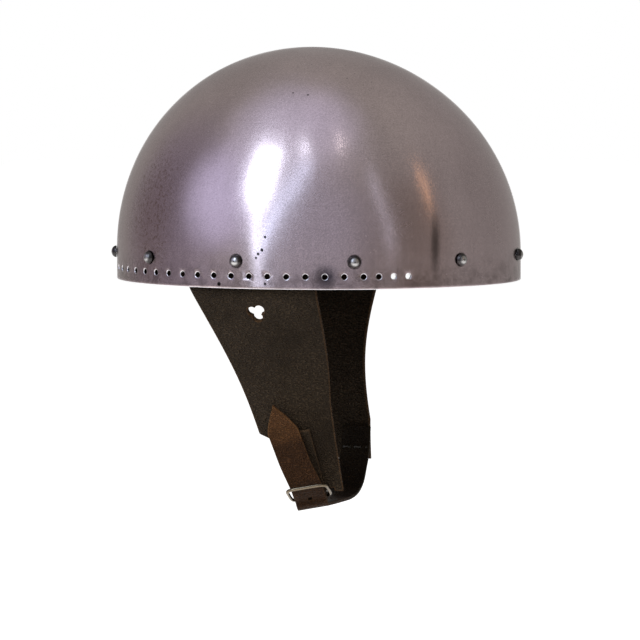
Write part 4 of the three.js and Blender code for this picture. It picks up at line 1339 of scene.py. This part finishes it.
    def hang(self, lamp, place, away, turn):
        """Hang a lamp at a place, facing back along a direction and turned about it."""
        lamp.location = place
        lamp.rotation_mode = "QUATERNION"
        facing = (-away).to_track_quat("-Z", "Y")
        lamp.rotation_quaternion = facing @ Matrix.Rotation(turn, 3, "Z").to_quaternion()


class HELMET_OT_bowl(Operator):
    """Raise the steel bowl with its lacing and rivet holes"""

    bl_idname = "helmet.bowl"
    bl_label = "Bowl"

    def execute(self, context):
        settings = context.scene.helmet_bowl
        bowl = join_mesh(self.shell(settings), "bowl", self.material(settings))
        bowl.data.shade_smooth()
        holes = [(seat, plan_normal(seat)) for seat in lacing_seats()]
        cutters = drill(holes, LACING.radius, CUT.bowl, HOLE_SIDES)
        rivets = [(seat, normal) for _, seat, normal in rivet_seats()]
        carve(bowl, drill(rivets, RIVET.hole_radius, CUT.bowl, WIDE_HOLE_SIDES, cutters))
        bm = bmesh.new()
        bm.from_mesh(bowl.data)
        bmesh.ops.remove_doubles(bm, verts=bm.verts, dist=1e-6)
        layer = bm.faces.layers.float.new("edge_wear")
        walls = bm.faces.layers.float.new("hole_wall")
        self.mark_walls(bm, holes, walls)
        # The holes' rounded edges and the rim are marked to be painted pale, as worn steel and as a
        # painted highlight.
        for face in round_edges(bm, sharp_edges(bm, 60), settings.hole_rounding):
            face[layer] = 1
            face[walls] = 0
        for face in bm.faces:
            if face.calc_center_median().z < settings.rim_rounding:
                face[layer] = RIM_WEAR_AND_HIGHLIGHT
        smooth_faces(bm, 40)
        bm.to_mesh(bowl.data)
        bm.free()
        stand_in(bowl, "helmet", "helmet_steel", "helmet_bowl")
        return {"FINISHED"}

    def mark_walls(self, bm, holes, walls):
        """Store which faces line the lacing holes, to be painted with shade."""
        tree = kdtree.KDTree(len(holes))
        for i, (seat, _) in enumerate(holes):
            tree.insert(seat, i)
        tree.balance()
        reach = LACING.radius * WALL_REACH
        for face in bm.faces:
            middle, i, _ = tree.find(face.calc_center_median())
            through = holes[i][1]
            if all((v.co - middle).cross(through).length < reach for v in face.verts):
                face[walls] = 1

    def face_profile(self, rounding, inset, inward):
        """One face of the sheet from the rim to the crown, as radius and height."""
        radius, rise = BOWL.length / 2 - inset, BOWL.height - BOWL.skirt - inset
        lip = [(radius + inward * rounding, 0.0)]
        lip += [(radius + inward * LIP_SHARE * rounding, LIP_SHARE * rounding)]
        skirt = [(radius, rounding)] + [(radius, share * BOWL.skirt) for share in SKIRT_SHARES]
        turns = [i / BOWL_ROWS * math.pi / 2 for i in range(BOWL_ROWS + 1)]
        arc = [(radius * math.cos(a), BOWL.skirt + rise * math.sin(a)) for a in turns]
        return lip + skirt + arc

    def shell(self, settings):
        """The raised sheet: its profile spun, stretched to the oval plan and set back."""
        outer = self.face_profile(settings.rim_rounding, 0, -1)
        inner = self.face_profile(settings.rim_rounding, BOWL.wall, 1)
        profile = outer + inner[::-1]
        bm = bmesh.new()
        verts = [bm.verts.new((0, radius if radius > 1e-9 else 0, z)) for radius, z in profile]
        edges = [bm.edges.new(pair) for pair in zip(verts, verts[1:] + verts[:1])]
        edges = [e for e in edges if e.calc_length() > 1e-9]
        bmesh.ops.spin(
            bm, geom=verts + edges, cent=(0, 0, 0), axis=(0, 0, 1), angle=math.tau,
            steps=settings.segments, use_merge=True,
        )
        bmesh.ops.remove_doubles(bm, verts=bm.verts, dist=1e-7)
        middle = [e for e in bm.edges if all(math.hypot(v.co.x, v.co.y) < 1e-6 for v in e.verts)]
        bmesh.ops.delete(bm, geom=middle, context="EDGES")
        bmesh.ops.scale(bm, vec=(BOWL.width / BOWL.length, 1, 1), verts=bm.verts)
        for vertex in bm.verts:
            vertex.co.y += set_back(vertex.co.z)
        bmesh.ops.recalc_face_normals(bm, faces=bm.faces)
        return bm

    def material(self, settings):
        """The bowl's steel: stains, a painted reflection, pits, painted shade round rivets and in
        holes, and worn edges painted as a highlight.
        """
        material = steel_material("Bowl Steel", settings.steel, settings.roughness, brushed=BRUSHED)
        bench, shader, base = reopen(material)
        place = bench.add("ShaderNodeTexCoord").outputs["Object"]
        # Stains, and one painted reflection of a dark streak.
        for middle, stretch, radius, ragged, tint, amount in STAINS_AND_PAINTED_REFLECTION:
            spot = group(bench, "Spot", {
                "Vector": place, "Place": middle, "Stretch": stretch, "Radius": radius,
                "Ragged": ragged, "Soft": 0.9,
            })
            factor = bench.math("MULTIPLY", spot.outputs["Mask"], amount)
            base = bench.blend(factor, base, colour(tint))
        base = self.tarnish(bench, place, base)
        # A painted shadow round each rivet's head.
        for _, seat, _ in rivet_seats():
            spot = group(bench, "Spot", {
                "Vector": place, "Place": seat, "Radius": RIVET.head_radius * RIVET_SHADOW_REACH,
                "Ragged": 0.25, "Soft": 0.22,
            })
            base = bench.blend(spot.outputs["Mask"], base, colour(RIVET_SHADOW_TONE))
        for middle, radius in PITS:
            spot = group(bench, "Spot", {
                "Vector": place, "Place": middle, "Radius": radius, "Ragged": 0.9, "Soft": 0.4,
            })
            base = bench.blend(spot.outputs["Mask"], base, colour(PIT_TONE))
        # Worn edges painted pale, which also paints the highlight along them.
        edges = group(bench, "Edge Wear", {"Vector": place, "Amount": 0.75, "Breakup": 0.6})
        base = bench.blend(edges.outputs["Mask"], base, colour(WORN_STEEL_AND_HIGHLIGHT))
        bench.put(shader.inputs["Base Color"], base)
        # Painted shade on the walls of the lacing holes.
        tint_by(material, "hole_wall", 0.4, 0.6, HOLE_SHADE_TONE)
        return material

    def tarnish(self, bench, place, base):
        """Brown flecks at the back and a darker, mottled band along the rim."""
        back = group(bench, "Spot", {
            "Vector": place, "Place": RUST_PLACE, "Stretch": RUST_STRETCH,
            "Radius": RUST_RADIUS, "Ragged": 0.3, "Soft": 0.8,
        })
        flecks = bench.span(bench.noise(place, 620.0, 4.0, 0.7), 0.5, 0.62)
        flecks = bench.math("MULTIPLY", flecks, back.outputs["Mask"])
        base = bench.blend(bench.math("MULTIPLY", flecks, 0.6), base, colour(RUST_TONE))
        height = bench.add("ShaderNodeSeparateXYZ", {"Vector": place}).outputs["Z"]
        band = bench.span(height, TARNISH.top, TARNISH.foot)
        mottle = bench.span(bench.noise(place, 130.0, 5.0, 0.65), 0.42, 0.66)
        band = bench.math("MULTIPLY", band, bench.math("MULTIPLY_ADD", mottle, 0.4, 0.16))
        return bench.blend(band, base, colour(TARNISH_TONE))


class HELMET_OT_lining(Operator):
    """Cut the leather lining and lace it at the crown"""

    bl_idname = "helmet.lining"
    bl_label = "Lining"

    def execute(self, context):
        settings = context.scene.helmet_leather
        leather = leather_material(
            "Lining Leather", settings.lining, [c * 1.6 for c in settings.lining], scale=1100,
            depth=0.00012, rough=0.8, patch=0.22,
        )
        # Painted shade along the lining's lower edge.
        self.shade_lower_edge(leather)
        middles = [(i + 0.5) / TONGUES * math.tau for i in range(TONGUES)]
        lining = self.band(leather)
        carve(lining, self.tongues(middles, leather), union=True)
        holes = [self.hole(middle) for middle in middles]
        cutters = drill(holes, LINING.hole_radius, CUT.lace, HOLE_SIDES)
        rivets = [(seat, normal) for _, seat, normal in rivet_seats()]
        carve(lining, drill(rivets, RIVET.hole_radius, CUT.rivet, HOLE_SIDES, cutters))
        bm = bmesh.new()
        bm.from_mesh(lining.data)
        drop_folds(bm)
        mark_wear(bm, sharp_edges(bm, 50), LINING.wear_reach)()
        smooth_faces(bm, 45)
        bm.to_mesh(lining.data)
        bm.free()
        stand_in(lining, "helmet", "lining_leather", "liner")
        self.lace(holes)
        return {"FINISHED"}

    def shade_lower_edge(self, material):
        """Paint shade on the lining's lower edge, which shows through the lacing holes."""
        bench, shader, clean = reopen(material)
        place = bench.add("ShaderNodeTexCoord").outputs["Object"]
        height = bench.add("ShaderNodeSeparateXYZ", {"Vector": place}).outputs["Z"]
        height = bench.math("MULTIPLY_ADD", bench.noise(place, 90.0, 3.0), LINING_SHADE.ragged, height)
        darkened = bench.blend(1.0, clean, colour(LINING_SHADE_TONE), "MULTIPLY")
        shaded = bench.blend(bench.span(height, LINING_SHADE.foot, LINING_SHADE.top), darkened, clean)
        bench.put(shader.inputs["Base Color"], shaded)

    def band(self, material):
        """The band that the rivets hold, closed round the head."""

        def surface(u, v):
            """The band's middle surface; it stops higher at the brow."""
            angle = u * math.tau
            side = math.asin(clamp(-math.sin(angle), -1, 1))
            bottom = lerp(LINING.bottom, LINING.brow_bottom, smoothstep(side, BROW_FROM, BROW_TO))
            z = lerp(LINING.top, bottom, v)
            return wall_point(angle, z, lining_inset(angle) + LINING.thickness / 2)

        bm = grid_over(surface, *LINING_GRID)
        bmesh.ops.remove_doubles(bm, verts=bm.verts, dist=1e-6)
        bmesh.ops.recalc_face_normals(bm, faces=bm.faces)
        obj = join_mesh(bm, "lining", material)
        thicken = obj.modifiers.new("Thickness", "SOLIDIFY")
        thicken.thickness = LINING.thickness
        thicken.offset = 0
        return settle(obj)

    def tongues(self, middles, material):
        """The eight tongues, each a closed form."""
        whole = bmesh.new()
        for middle in middles:
            surface = lambda u, v, middle=middle: tongue_point(middle, u, v)
            tongue = join_mesh(grid_over(surface, *TONGUE_GRID), "tongue", material)
            thicken = tongue.modifiers.new("Thickness", "SOLIDIFY")
            thicken.thickness = LINING.tongue_thickness
            thicken.offset = 0
            settle(tongue)
            whole.from_mesh(tongue.data)
            bpy.data.objects.remove(tongue)
        bmesh.ops.recalc_face_normals(whole, faces=whole.faces)
        return whole

    def hole(self, middle):
        """The middle and direction of a tongue's lace hole."""
        surface = lambda u, v: tongue_point(middle, u, v)
        outward = surface_normal(surface, 0.5, LACE_SHARE)
        if outward.z < 0:
            outward = -outward
        return surface(0.5, LACE_SHARE), outward

    def lace(self, holes):
        """The lace, in and out of the tongues' tips, with its two ends hanging."""
        points = []
        for i, (centre, outward) in enumerate(holes):
            points.append(centre)
            if i == len(holes) - 1:
                break
            after, after_out = holes[i + 1]
            lift = LACE.weave if i % 2 == 0 else -LACE.weave
            ahead = (after - centre).normalized() * LACE.turn
            points.append(centre + ahead + outward * lift)
            points.append(after - ahead + after_out * lift)

        def tail(end, other):
            """An end of the lace: through its hole, then hanging."""
            inward = (other[0] - end[0]).normalized() * LACE.turn
            start = end[0] + inward - end[1] * LACE.weave
            drop = start + inward - Vector((0, 0, LACE.tail))
            return [start, start.lerp(drop, 0.5), drop]

        points = tail(holes[0], holes[-1])[::-1] + points + tail(holes[-1], holes[0])
        path = curve_through(points, LACE_STEPS)
        leather = leather_material(
            "Lace Leather", LACE_LEATHER, LACE_EDGE, scale=2200, depth=0.00008, rough=0.75,
            patch=0.3,
        )
        lace = wire_piece("lace", path, LACE.radius * SLIM, leather, sides=4)
        stand_in(lace, "helmet", "lace_leather", "liner_lace")


class HELMET_OT_rivets(Operator):
    """Set the dome rivets and their washers"""

    bl_idname = "helmet.rivets"
    bl_label = "Rivets"

    def execute(self, context):
        settings = context.scene.helmet_bowl
        steel = steel_material(
            "Rivet Steel", settings.rivet_steel, rough=0.24, line_scale=3.0, pits=0.6,
            rolling=0.0002,
        )
        # Painted shade: a dark ring round the outer part of each dome.
        tint_by(steel, "from_middle", 0.4, 0.78, DOME_SHADE_RING, 0.94)
        tint_by(steel, "from_middle", 0.2, 0.08, DOME_TOP, 0.7)
        plain = steel_material(
            "Washer Steel", WASHER_STEEL, rough=0.42, line_scale=3.0, pits=0.5, rolling=0.0001
        )
        for i, (angle, seat, normal) in enumerate(rivet_seats()):
            lining_face = lining_inset(angle) + LINING.thickness
            washer_top = -(lining_face + GAP.curved_seat)
            washer_foot = washer_top - RIVET.washer_thickness
            tail_top = washer_foot - GAP.rest
            number = f"{i + 1:02d}"
            dome = self.rivet_profile(tail_top)
            rivet = turned_piece(f"rivet_{number}_dome", dome, seat, normal, RIVET_SIDES, steel)
            stand_in(rivet, "helmet", "rivet_steel", f"rivet_{number}")
            ring = self.washer_profile(washer_foot, washer_top)
            washer = turned_piece(f"washer_{number}", ring, seat, normal, RIVET_SIDES, plain)
            stand_in(washer, "helmet", "washer_steel", f"rivet_washer_{number}")
        return {"FINISHED"}

    def rivet_profile(self, tail_top):
        """Tail, shank and a dome with a small turned-in foot."""
        radius, height = RIVET.head_radius, RIVET.head_height
        tail_foot = tail_top - RIVET.tail_height
        points = [(0, tail_foot)]
        for share, rise in ((0.7, 0), (0.93, 0.25), (1, 0.6), (1, 1)):
            points.append((RIVET.tail_radius * share, tail_foot + RIVET.tail_height * rise))
        points += [(RIVET.shank_radius, tail_top), (RIVET.shank_radius, GAP.rest)]
        points += [(radius * 0.93, GAP.rest), (radius, GAP.rest + height * 0.08)]
        points += dome_profile(radius, height, GAP.rest, 6, DOME_STEPS)
        return points

    def washer_profile(self, foot, top):
        """A plain ring with softened outer edges."""
        inner, outer, ease = RIVET.hole_radius, RIVET.washer_radius, RIVET.washer_thickness * 0.2
        return [
            (inner, foot), (outer - ease, foot), (outer, foot + ease), (outer, top - ease),
            (outer - ease, top), (inner, top), (inner, foot),
        ]


class HELMET_OT_flaps(Operator):
    """Cut the two leather cheek flaps"""

    bl_idname = "helmet.flaps"
    bl_label = "Cheek flaps"

    def execute(self, context):
        settings = context.scene.helmet_leather
        leather = leather_material(
            "Flap Leather", settings.flap, settings.flap_edge, scale=620, depth=0.0011,
            rough=0.52, patch=0.42,
        )
        for name, edge, side in (("right", RIGHT_EDGE, 1), ("left", LEFT_EDGE, -1)):
            cuts = [self.mirrored(self.rivet_hole(), side)]
            if side == 1:
                cuts += [*self.trefoil(), self.tail_notch(), chape_rivet_holes()]
            else:
                cuts += [stitch_holes()]
            flap = leather_piece(
                f"flap_{name}", self.surface(edge, side), FLAP_GRID, FLAP.thickness,
                settings.rounding, leather, cuts,
            )
            stand_in(flap, "harness", "flap_leather", f"cheek_flap_{name}")
        return {"FINISHED"}

    def surface(self, edge, side):
        """A flap's middle surface over its rows."""
        rows = flap_rows(edge.length + (LEFT_TAIL if side < 0 else 0))
        last = len(rows) - 1

        def point(u, v):
            """A point between two of the flap's rows."""
            i = min(int(v * last + 1e-9), last - 1)
            drop = lerp(rows[i], rows[i + 1], v * last - i)
            place = on_flap(lerp(flap_back(drop), flap_front(drop, edge), u), drop)
            return Vector((place.x * side, place.y, place.z))

        return point

    def mirrored(self, bm, side):
        """A cutter on its own side of the helmet."""
        if side < 0:
            bmesh.ops.scale(bm, vec=(-1, 1, 1), verts=bm.verts)
            bmesh.ops.reverse_faces(bm, faces=bm.faces)
        return bm

    def trefoil(self):
        """A cutter for each of the three joined lobes."""
        cutters = []
        for i in range(3):
            angle = math.radians(TREFOIL_TILT + 180 + i * 120)
            reach = TREFOIL.spacing / math.sqrt(3)
            y = TREFOIL.back - reach * math.cos(angle)
            drop = TREFOIL.drop - reach * math.sin(angle)
            middle = on_flap(y, drop)
            through = (off_flap(y, drop, MM) - middle).normalized()
            cutters.append(drill([(middle, through)], TREFOIL.radius, CUT.lobe, LOBE_SIDES))
        return cutters

    def rivet_hole(self):
        """A cutter for the flap's rivet."""
        _, seat, normal = rivet_seats()[FLAP_RIVET]
        return drill([(seat, normal)], RIVET.hole_radius, CUT.rivet, WIDE_HOLE_SIDES)

    def tail_notch(self):
        """The tail is cut back to the buckle, but for the corner before the ring."""
        front, back = BUCKLE.outer_width / 2 + FLAP.notch_clear, -FLAP.back
        deep = CUT.notch / 2
        return block_by_pin((back, front), (-FLAP.back, FLAP.notch_up), (-deep, deep))


def block_by_pin(along, up, out):
    """A block cutter between limits along the buckle's bar, up from it and out from it."""
    limits = (along, up, out)
    bm = bmesh.new()
    bmesh.ops.create_cube(bm, size=1)
    bmesh.ops.scale(bm, vec=[high - low for low, high in limits], verts=bm.verts)
    axes = Matrix((PIN_AXIS, UP_AXIS, OUT_AXIS)).transposed().to_4x4()
    middle = from_pin(*((low + high) / 2 for low, high in limits))
    bmesh.ops.transform(bm, matrix=Matrix.Translation(middle) @ axes, verts=bm.verts)
    return bm


def chape_rivet_seats():
    """The middles and directions of the chape's two rivets."""
    seats = []
    for up in (CHAPE_RIVET.lower, CHAPE_RIVET.upper):
        middle = at_buckle(0, up, 0)
        seats.append((middle, (at_buckle(0, up, MM) - middle).normalized()))
    return seats


def chape_rivet_holes():
    """Cutters for the chape's two rivets."""
    return drill(chape_rivet_seats(), CHAPE_RIVET.hole_radius, CUT.chape, HOLE_SIDES)


def stitch_seats():
    """The middles and directions of the stitch holes in the strap's sewn end."""
    seats = []
    for i in range(STITCH_HOLES):
        y = SEWN_Y + (i - (STITCH_HOLES - 1) / 2) * STITCH.pitch
        drop = LEFT_EDGE.length - STITCH.up
        through = left_inside(y, drop, -MM) - left_inside(y, drop, MM)
        seats.append((left_inside(y, drop, STRAP_OFFSET), through.normalized()))
    return seats


def stitch_holes():
    """Cutters for the stitches."""
    return drill(stitch_seats(), STITCH.hole_radius, CUT.stitch, STITCH_SIDES)


class HELMET_OT_buckle(Operator):
    """Fold the chape, and bend the buckle's ring and tongue"""

    bl_idname = "helmet.buckle"
    bl_label = "Buckle"

    def execute(self, context):
        leathers = context.scene.helmet_leather
        settings = context.scene.helmet_buckle
        leather = leather_material(
            "Chape Leather", leathers.flap, leathers.flap_edge, scale=700, depth=0.0005,
            rough=0.6, patch=0.4, wear=0.45,
        )
        cuts = [self.slot(), self.long_slot(), chape_rivet_holes()]
        chape = leather_piece(
            "chape", chape_point, CHAPE_GRID, CHAPE.thickness, leathers.rounding * 0.8, leather,
            cuts,
        )
        stand_in(chape, "harness", "flap_leather", "buckle_chape")
        steel = steel_material(
            "Buckle Steel", settings.steel, settings.roughness, line_scale=4.0, rolling=0.0002
        )
        rivet_steel = steel_material(
            "Chape Rivet Steel", SMALL_RIVET_STEEL, rough=0.38, line_scale=4.0, pits=0.6,
            rolling=0.0002,
        )
        for place, (middle, direction) in zip(("lower", "upper"), chape_rivet_seats()):
            rivet = turned_piece(
                f"small_rivet_{place}", self.rivet_profile(), middle, direction,
                SMALL_RIVET_SIDES, rivet_steel,
            )
            stand_in(rivet, "harness", "rivet_steel", f"chape_rivet_{place}")
        ring = wire_piece(
            "ring", self.ring_path(), SHOWN_WIRE, steel, closed=True, sides=6,
        )
        stand_in(ring, "buckle_frame", "buckle_steel", "buckle_frame")
        self.tongue(steel)
        return {"FINISHED"}

    def slot(self):
        """The slot all round the fold."""
        eye_top = TONGUE_EYE + TONGUE.wire_radius + GAP.rest
        return self.slot_cutter(eye_top, -CHAPE_OUT - CHAPE.thickness)

    def long_slot(self):
        """The slot's longer way up the outer layer."""
        return self.slot_cutter(CHAPE.slot_up, 0)

    def slot_cutter(self, high, inner):
        """A block over the slot, up to a height and in to a depth."""
        low, outer = -CHAPE_OUT - CHAPE.thickness, CHAPE_OUT + CHAPE.thickness + CUT.slot
        side = CHAPE.slot_width / 2
        return block_by_pin((-side, side), (low, high), (inner, outer))

    def rivet_profile(self):
        """A small rivet with a low head at each end."""
        face = CHAPE_OUT + CHAPE.thickness / 2 + GAP.rest
        wide, shank = CHAPE_RIVET.head_radius, CHAPE_RIVET.shank_radius
        upper = [(shank, face), (wide * 0.96, face), (wide, face + 0.2 * MM)]
        upper += dome_profile(wide, CHAPE_RIVET.head_height, face, 12, SMALL_DOME_STEPS)
        return [(radius, -height) for radius, height in upper[::-1]] + upper

    def ring_path(self):
        """The ring's middle line: a rounded oblong that leans out from the fold."""
        wide = BUCKLE.outer_width / 2 - BUCKLE.wire_radius
        tall = BUCKLE.reach / 2
        points = []
        for i in range(RING_SAMPLES):
            angle = math.tau * i / RING_SAMPLES
            across, along = math.cos(angle), math.sin(angle)
            across = math.copysign(abs(across) ** (2 / BUCKLE_CORNER_POWER), across)
            along = math.copysign(abs(along) ** (2 / BUCKLE_CORNER_POWER), along)
            rise = tall + tall * along
            points.append(from_pin(
                wide * across, rise * math.cos(BUCKLE_LEAN), rise * math.sin(BUCKLE_LEAN)
            ))
        return self.spread(points, RING_STEPS)

    def spread(self, points, count):
        """Points spaced evenly along a closed line."""
        loop = points + points[:1]
        runs = [0.0]
        for before, here in zip(loop, loop[1:]):
            runs.append(runs[-1] + (here - before).length)
        spaced, i = [], 0
        for k in range(count):
            run = runs[-1] * k / count
            while runs[i + 1] < run:
                i += 1
            share = (run - runs[i]) / max(runs[i + 1] - runs[i], 1e-12)
            spaced.append(loop[i].lerp(loop[i + 1], share))
        return spaced

    def tongue(self, steel):
        """The tongue: an eye round the straight bar and a pointed prong."""
        eye = []
        for i in range(EYE_STEPS):
            angle = math.tau * i / EYE_STEPS
            eye.append(from_pin(0, TONGUE_EYE * math.cos(angle), TONGUE_EYE * math.sin(angle)))
        first = from_pin(0, 0, TONGUE_EYE)
        bend = from_pin(0, TONGUE.length / 2, lerp(TONGUE_EYE, TONGUE.lift, TONGUE_LIFT_SHARE))
        last = from_pin(0, TONGUE.length, TONGUE.lift)
        prong = [
            first * (1 - t) ** 2 + bend * 2 * t * (1 - t) + last * t**2
            for t in (i / PRONG_STEPS for i in range(PRONG_STEPS + 1))
        ]
        radius = TONGUE.wire_radius * SLIM
        piece = wire_piece("prong", prong, radius, steel, sides=4)
        loop = wire_piece("tongue_eye", eye, radius, steel, closed=True, sides=4)
        bm = bmesh.new()
        bm.from_mesh(loop.data)
        bpy.data.objects.remove(loop)
        carve(piece, bm, union=True)
        bm = bmesh.new()
        bm.from_mesh(piece.data)
        smooth_faces(bm, 50)
        bm.to_mesh(piece.data)
        bm.free()
        stand_in(piece, "buckle_tongue", "buckle_steel", "buckle_tongue")


class HELMET_OT_strap(Operator):
    """Cut the chin strap and sew it to the left flap"""

    bl_idname = "helmet.strap"
    bl_label = "Chin strap"

    def execute(self, context):
        settings = context.scene.helmet_leather
        leather = leather_material(
            "Strap Leather", settings.strap, settings.strap_edge, scale=760, depth=0.0009,
            rough=0.5, patch=0.6, crease=0.7,
        )
        # Painted shade, darker towards the strap's sewn end.
        for start, end, shade in STRAP_PAINTED_SHADES:
            darken_end(leather, "lay", start, end, shade)
        holes = []
        for i in range(STRAP_HOLES):
            v = 1 - (STRAP.first_hole + i * STRAP.hole_pitch) / STRAP_LENGTH
            holes.append((strap_surface(0.5, v), surface_normal(strap_surface, 0.5, v)))
        cuts = [
            drill(holes, STRAP.hole_radius, CUT.strap, WIDE_HOLE_SIDES),
            stitch_holes(),
        ]
        strap = leather_piece(
            "strap", strap_surface, STRAP_GRID, STRAP.thickness, settings.rounding, leather, cuts
        )
        stand_in(strap, "harness", "strap_leather", "chin_strap")
        self.stitches()
        return {"FINISHED"}

    def stitches(self):
        """The running stitch across the sewn end."""
        outer = -FLAP.thickness / 2
        inner = STRAP_OFFSET + STRAP.thickness / 2 + GAP.rest
        lift = STITCH.radius + GAP.rest
        drop = LEFT_EDGE.length - STITCH.up
        points = []
        for i in range(STITCH_HOLES):
            y = SEWN_Y + (i - (STITCH_HOLES - 1) / 2) * STITCH.pitch
            faces = [(inner, lift), (outer, -lift)]
            if i % 2 == 1:
                faces.reverse()
            (enter, enter_lift), (leave, leave_lift) = faces
            points.append(left_inside(y - STITCH.turn, drop, enter + enter_lift))
            points += [left_inside(y, drop, enter), left_inside(y, drop, leave)]
            points.append(left_inside(y + STITCH.turn, drop, leave + leave_lift))
        path = curve_through(points, STITCH_STEPS)
        material, bench, shader, place = new_material("Waxed Thread")
        fibre = bench.noise(place, 5000.0, 3.0)
        tone = bench.blend(fibre, colour(THREAD_DARK), colour(THREAD_LIGHT))
        bench.put(shader.inputs["Base Color"], tone)
        shader.inputs["Roughness"].default_value = 0.7
        bump(bench, shader, fibre, 0.0001)
        thread = wire_piece("thread", path, STITCH.radius * SLIM, material, sides=3)
        stand_in(thread, "harness", "stitching_thread", "strap_stitching")


class VIEW3D_PT_helmet(Panel):
    """Lists the helmet's pieces"""

    bl_label = "Cervelliere"
    bl_space_type = "VIEW_3D"
    bl_region_type = "UI"
    bl_category = "Helmet"

    def draw(self, context):
        scene = context.scene
        sections = (
            (
                scene.helmet_stage, ("floor", "floor_drop", "room", "key", "window"),
                ("helmet.stage",),
            ),
            (
                scene.helmet_bowl,
                ("steel", "roughness", "segments", "rim_rounding", "hole_rounding", "rivet_steel"),
                ("helmet.bowl", "helmet.rivets"),
            ),
            (
                scene.helmet_leather,
                ("flap", "flap_edge", "strap", "strap_edge", "lining", "rounding"),
                ("helmet.lining", "helmet.flaps", "helmet.strap"),
            ),
            (scene.helmet_buckle, ("steel", "roughness"), ("helmet.buckle",)),
        )
        for settings, names, operators in sections:
            box = self.layout.box()
            for name in names:
                box.prop(settings, name)
            for operator in operators:
                box.operator(operator)


SETTINGS = {
    "helmet_stage": StageSettings, "helmet_bowl": BowlSettings,
    "helmet_leather": LeatherSettings, "helmet_buckle": BuckleSettings,
}
CLASSES = (
    *SETTINGS.values(), HELMET_OT_stage, HELMET_OT_bowl, HELMET_OT_lining, HELMET_OT_rivets,
    HELMET_OT_flaps, HELMET_OT_buckle, HELMET_OT_strap, VIEW3D_PT_helmet,
)


def register():
    """Register the settings, the operators and the panel."""
    for cls in CLASSES:
        bpy.utils.register_class(cls)
    for name, settings in SETTINGS.items():
        setattr(bpy.types.Scene, name, PointerProperty(type=settings))


def unregister():
    """Take them out again."""
    for name in SETTINGS:
        delattr(bpy.types.Scene, name)
    for cls in reversed(CLASSES):
        bpy.utils.unregister_class(cls)


def main():
    """Build the helmet and its stage."""
    register()
    bpy.ops.helmet.stage()
    bpy.ops.helmet.bowl()
    bpy.ops.helmet.lining()
    bpy.ops.helmet.rivets()
    bpy.ops.helmet.flaps()
    bpy.ops.helmet.buckle()
    bpy.ops.helmet.strap()


if __name__ == "__main__":
    main()
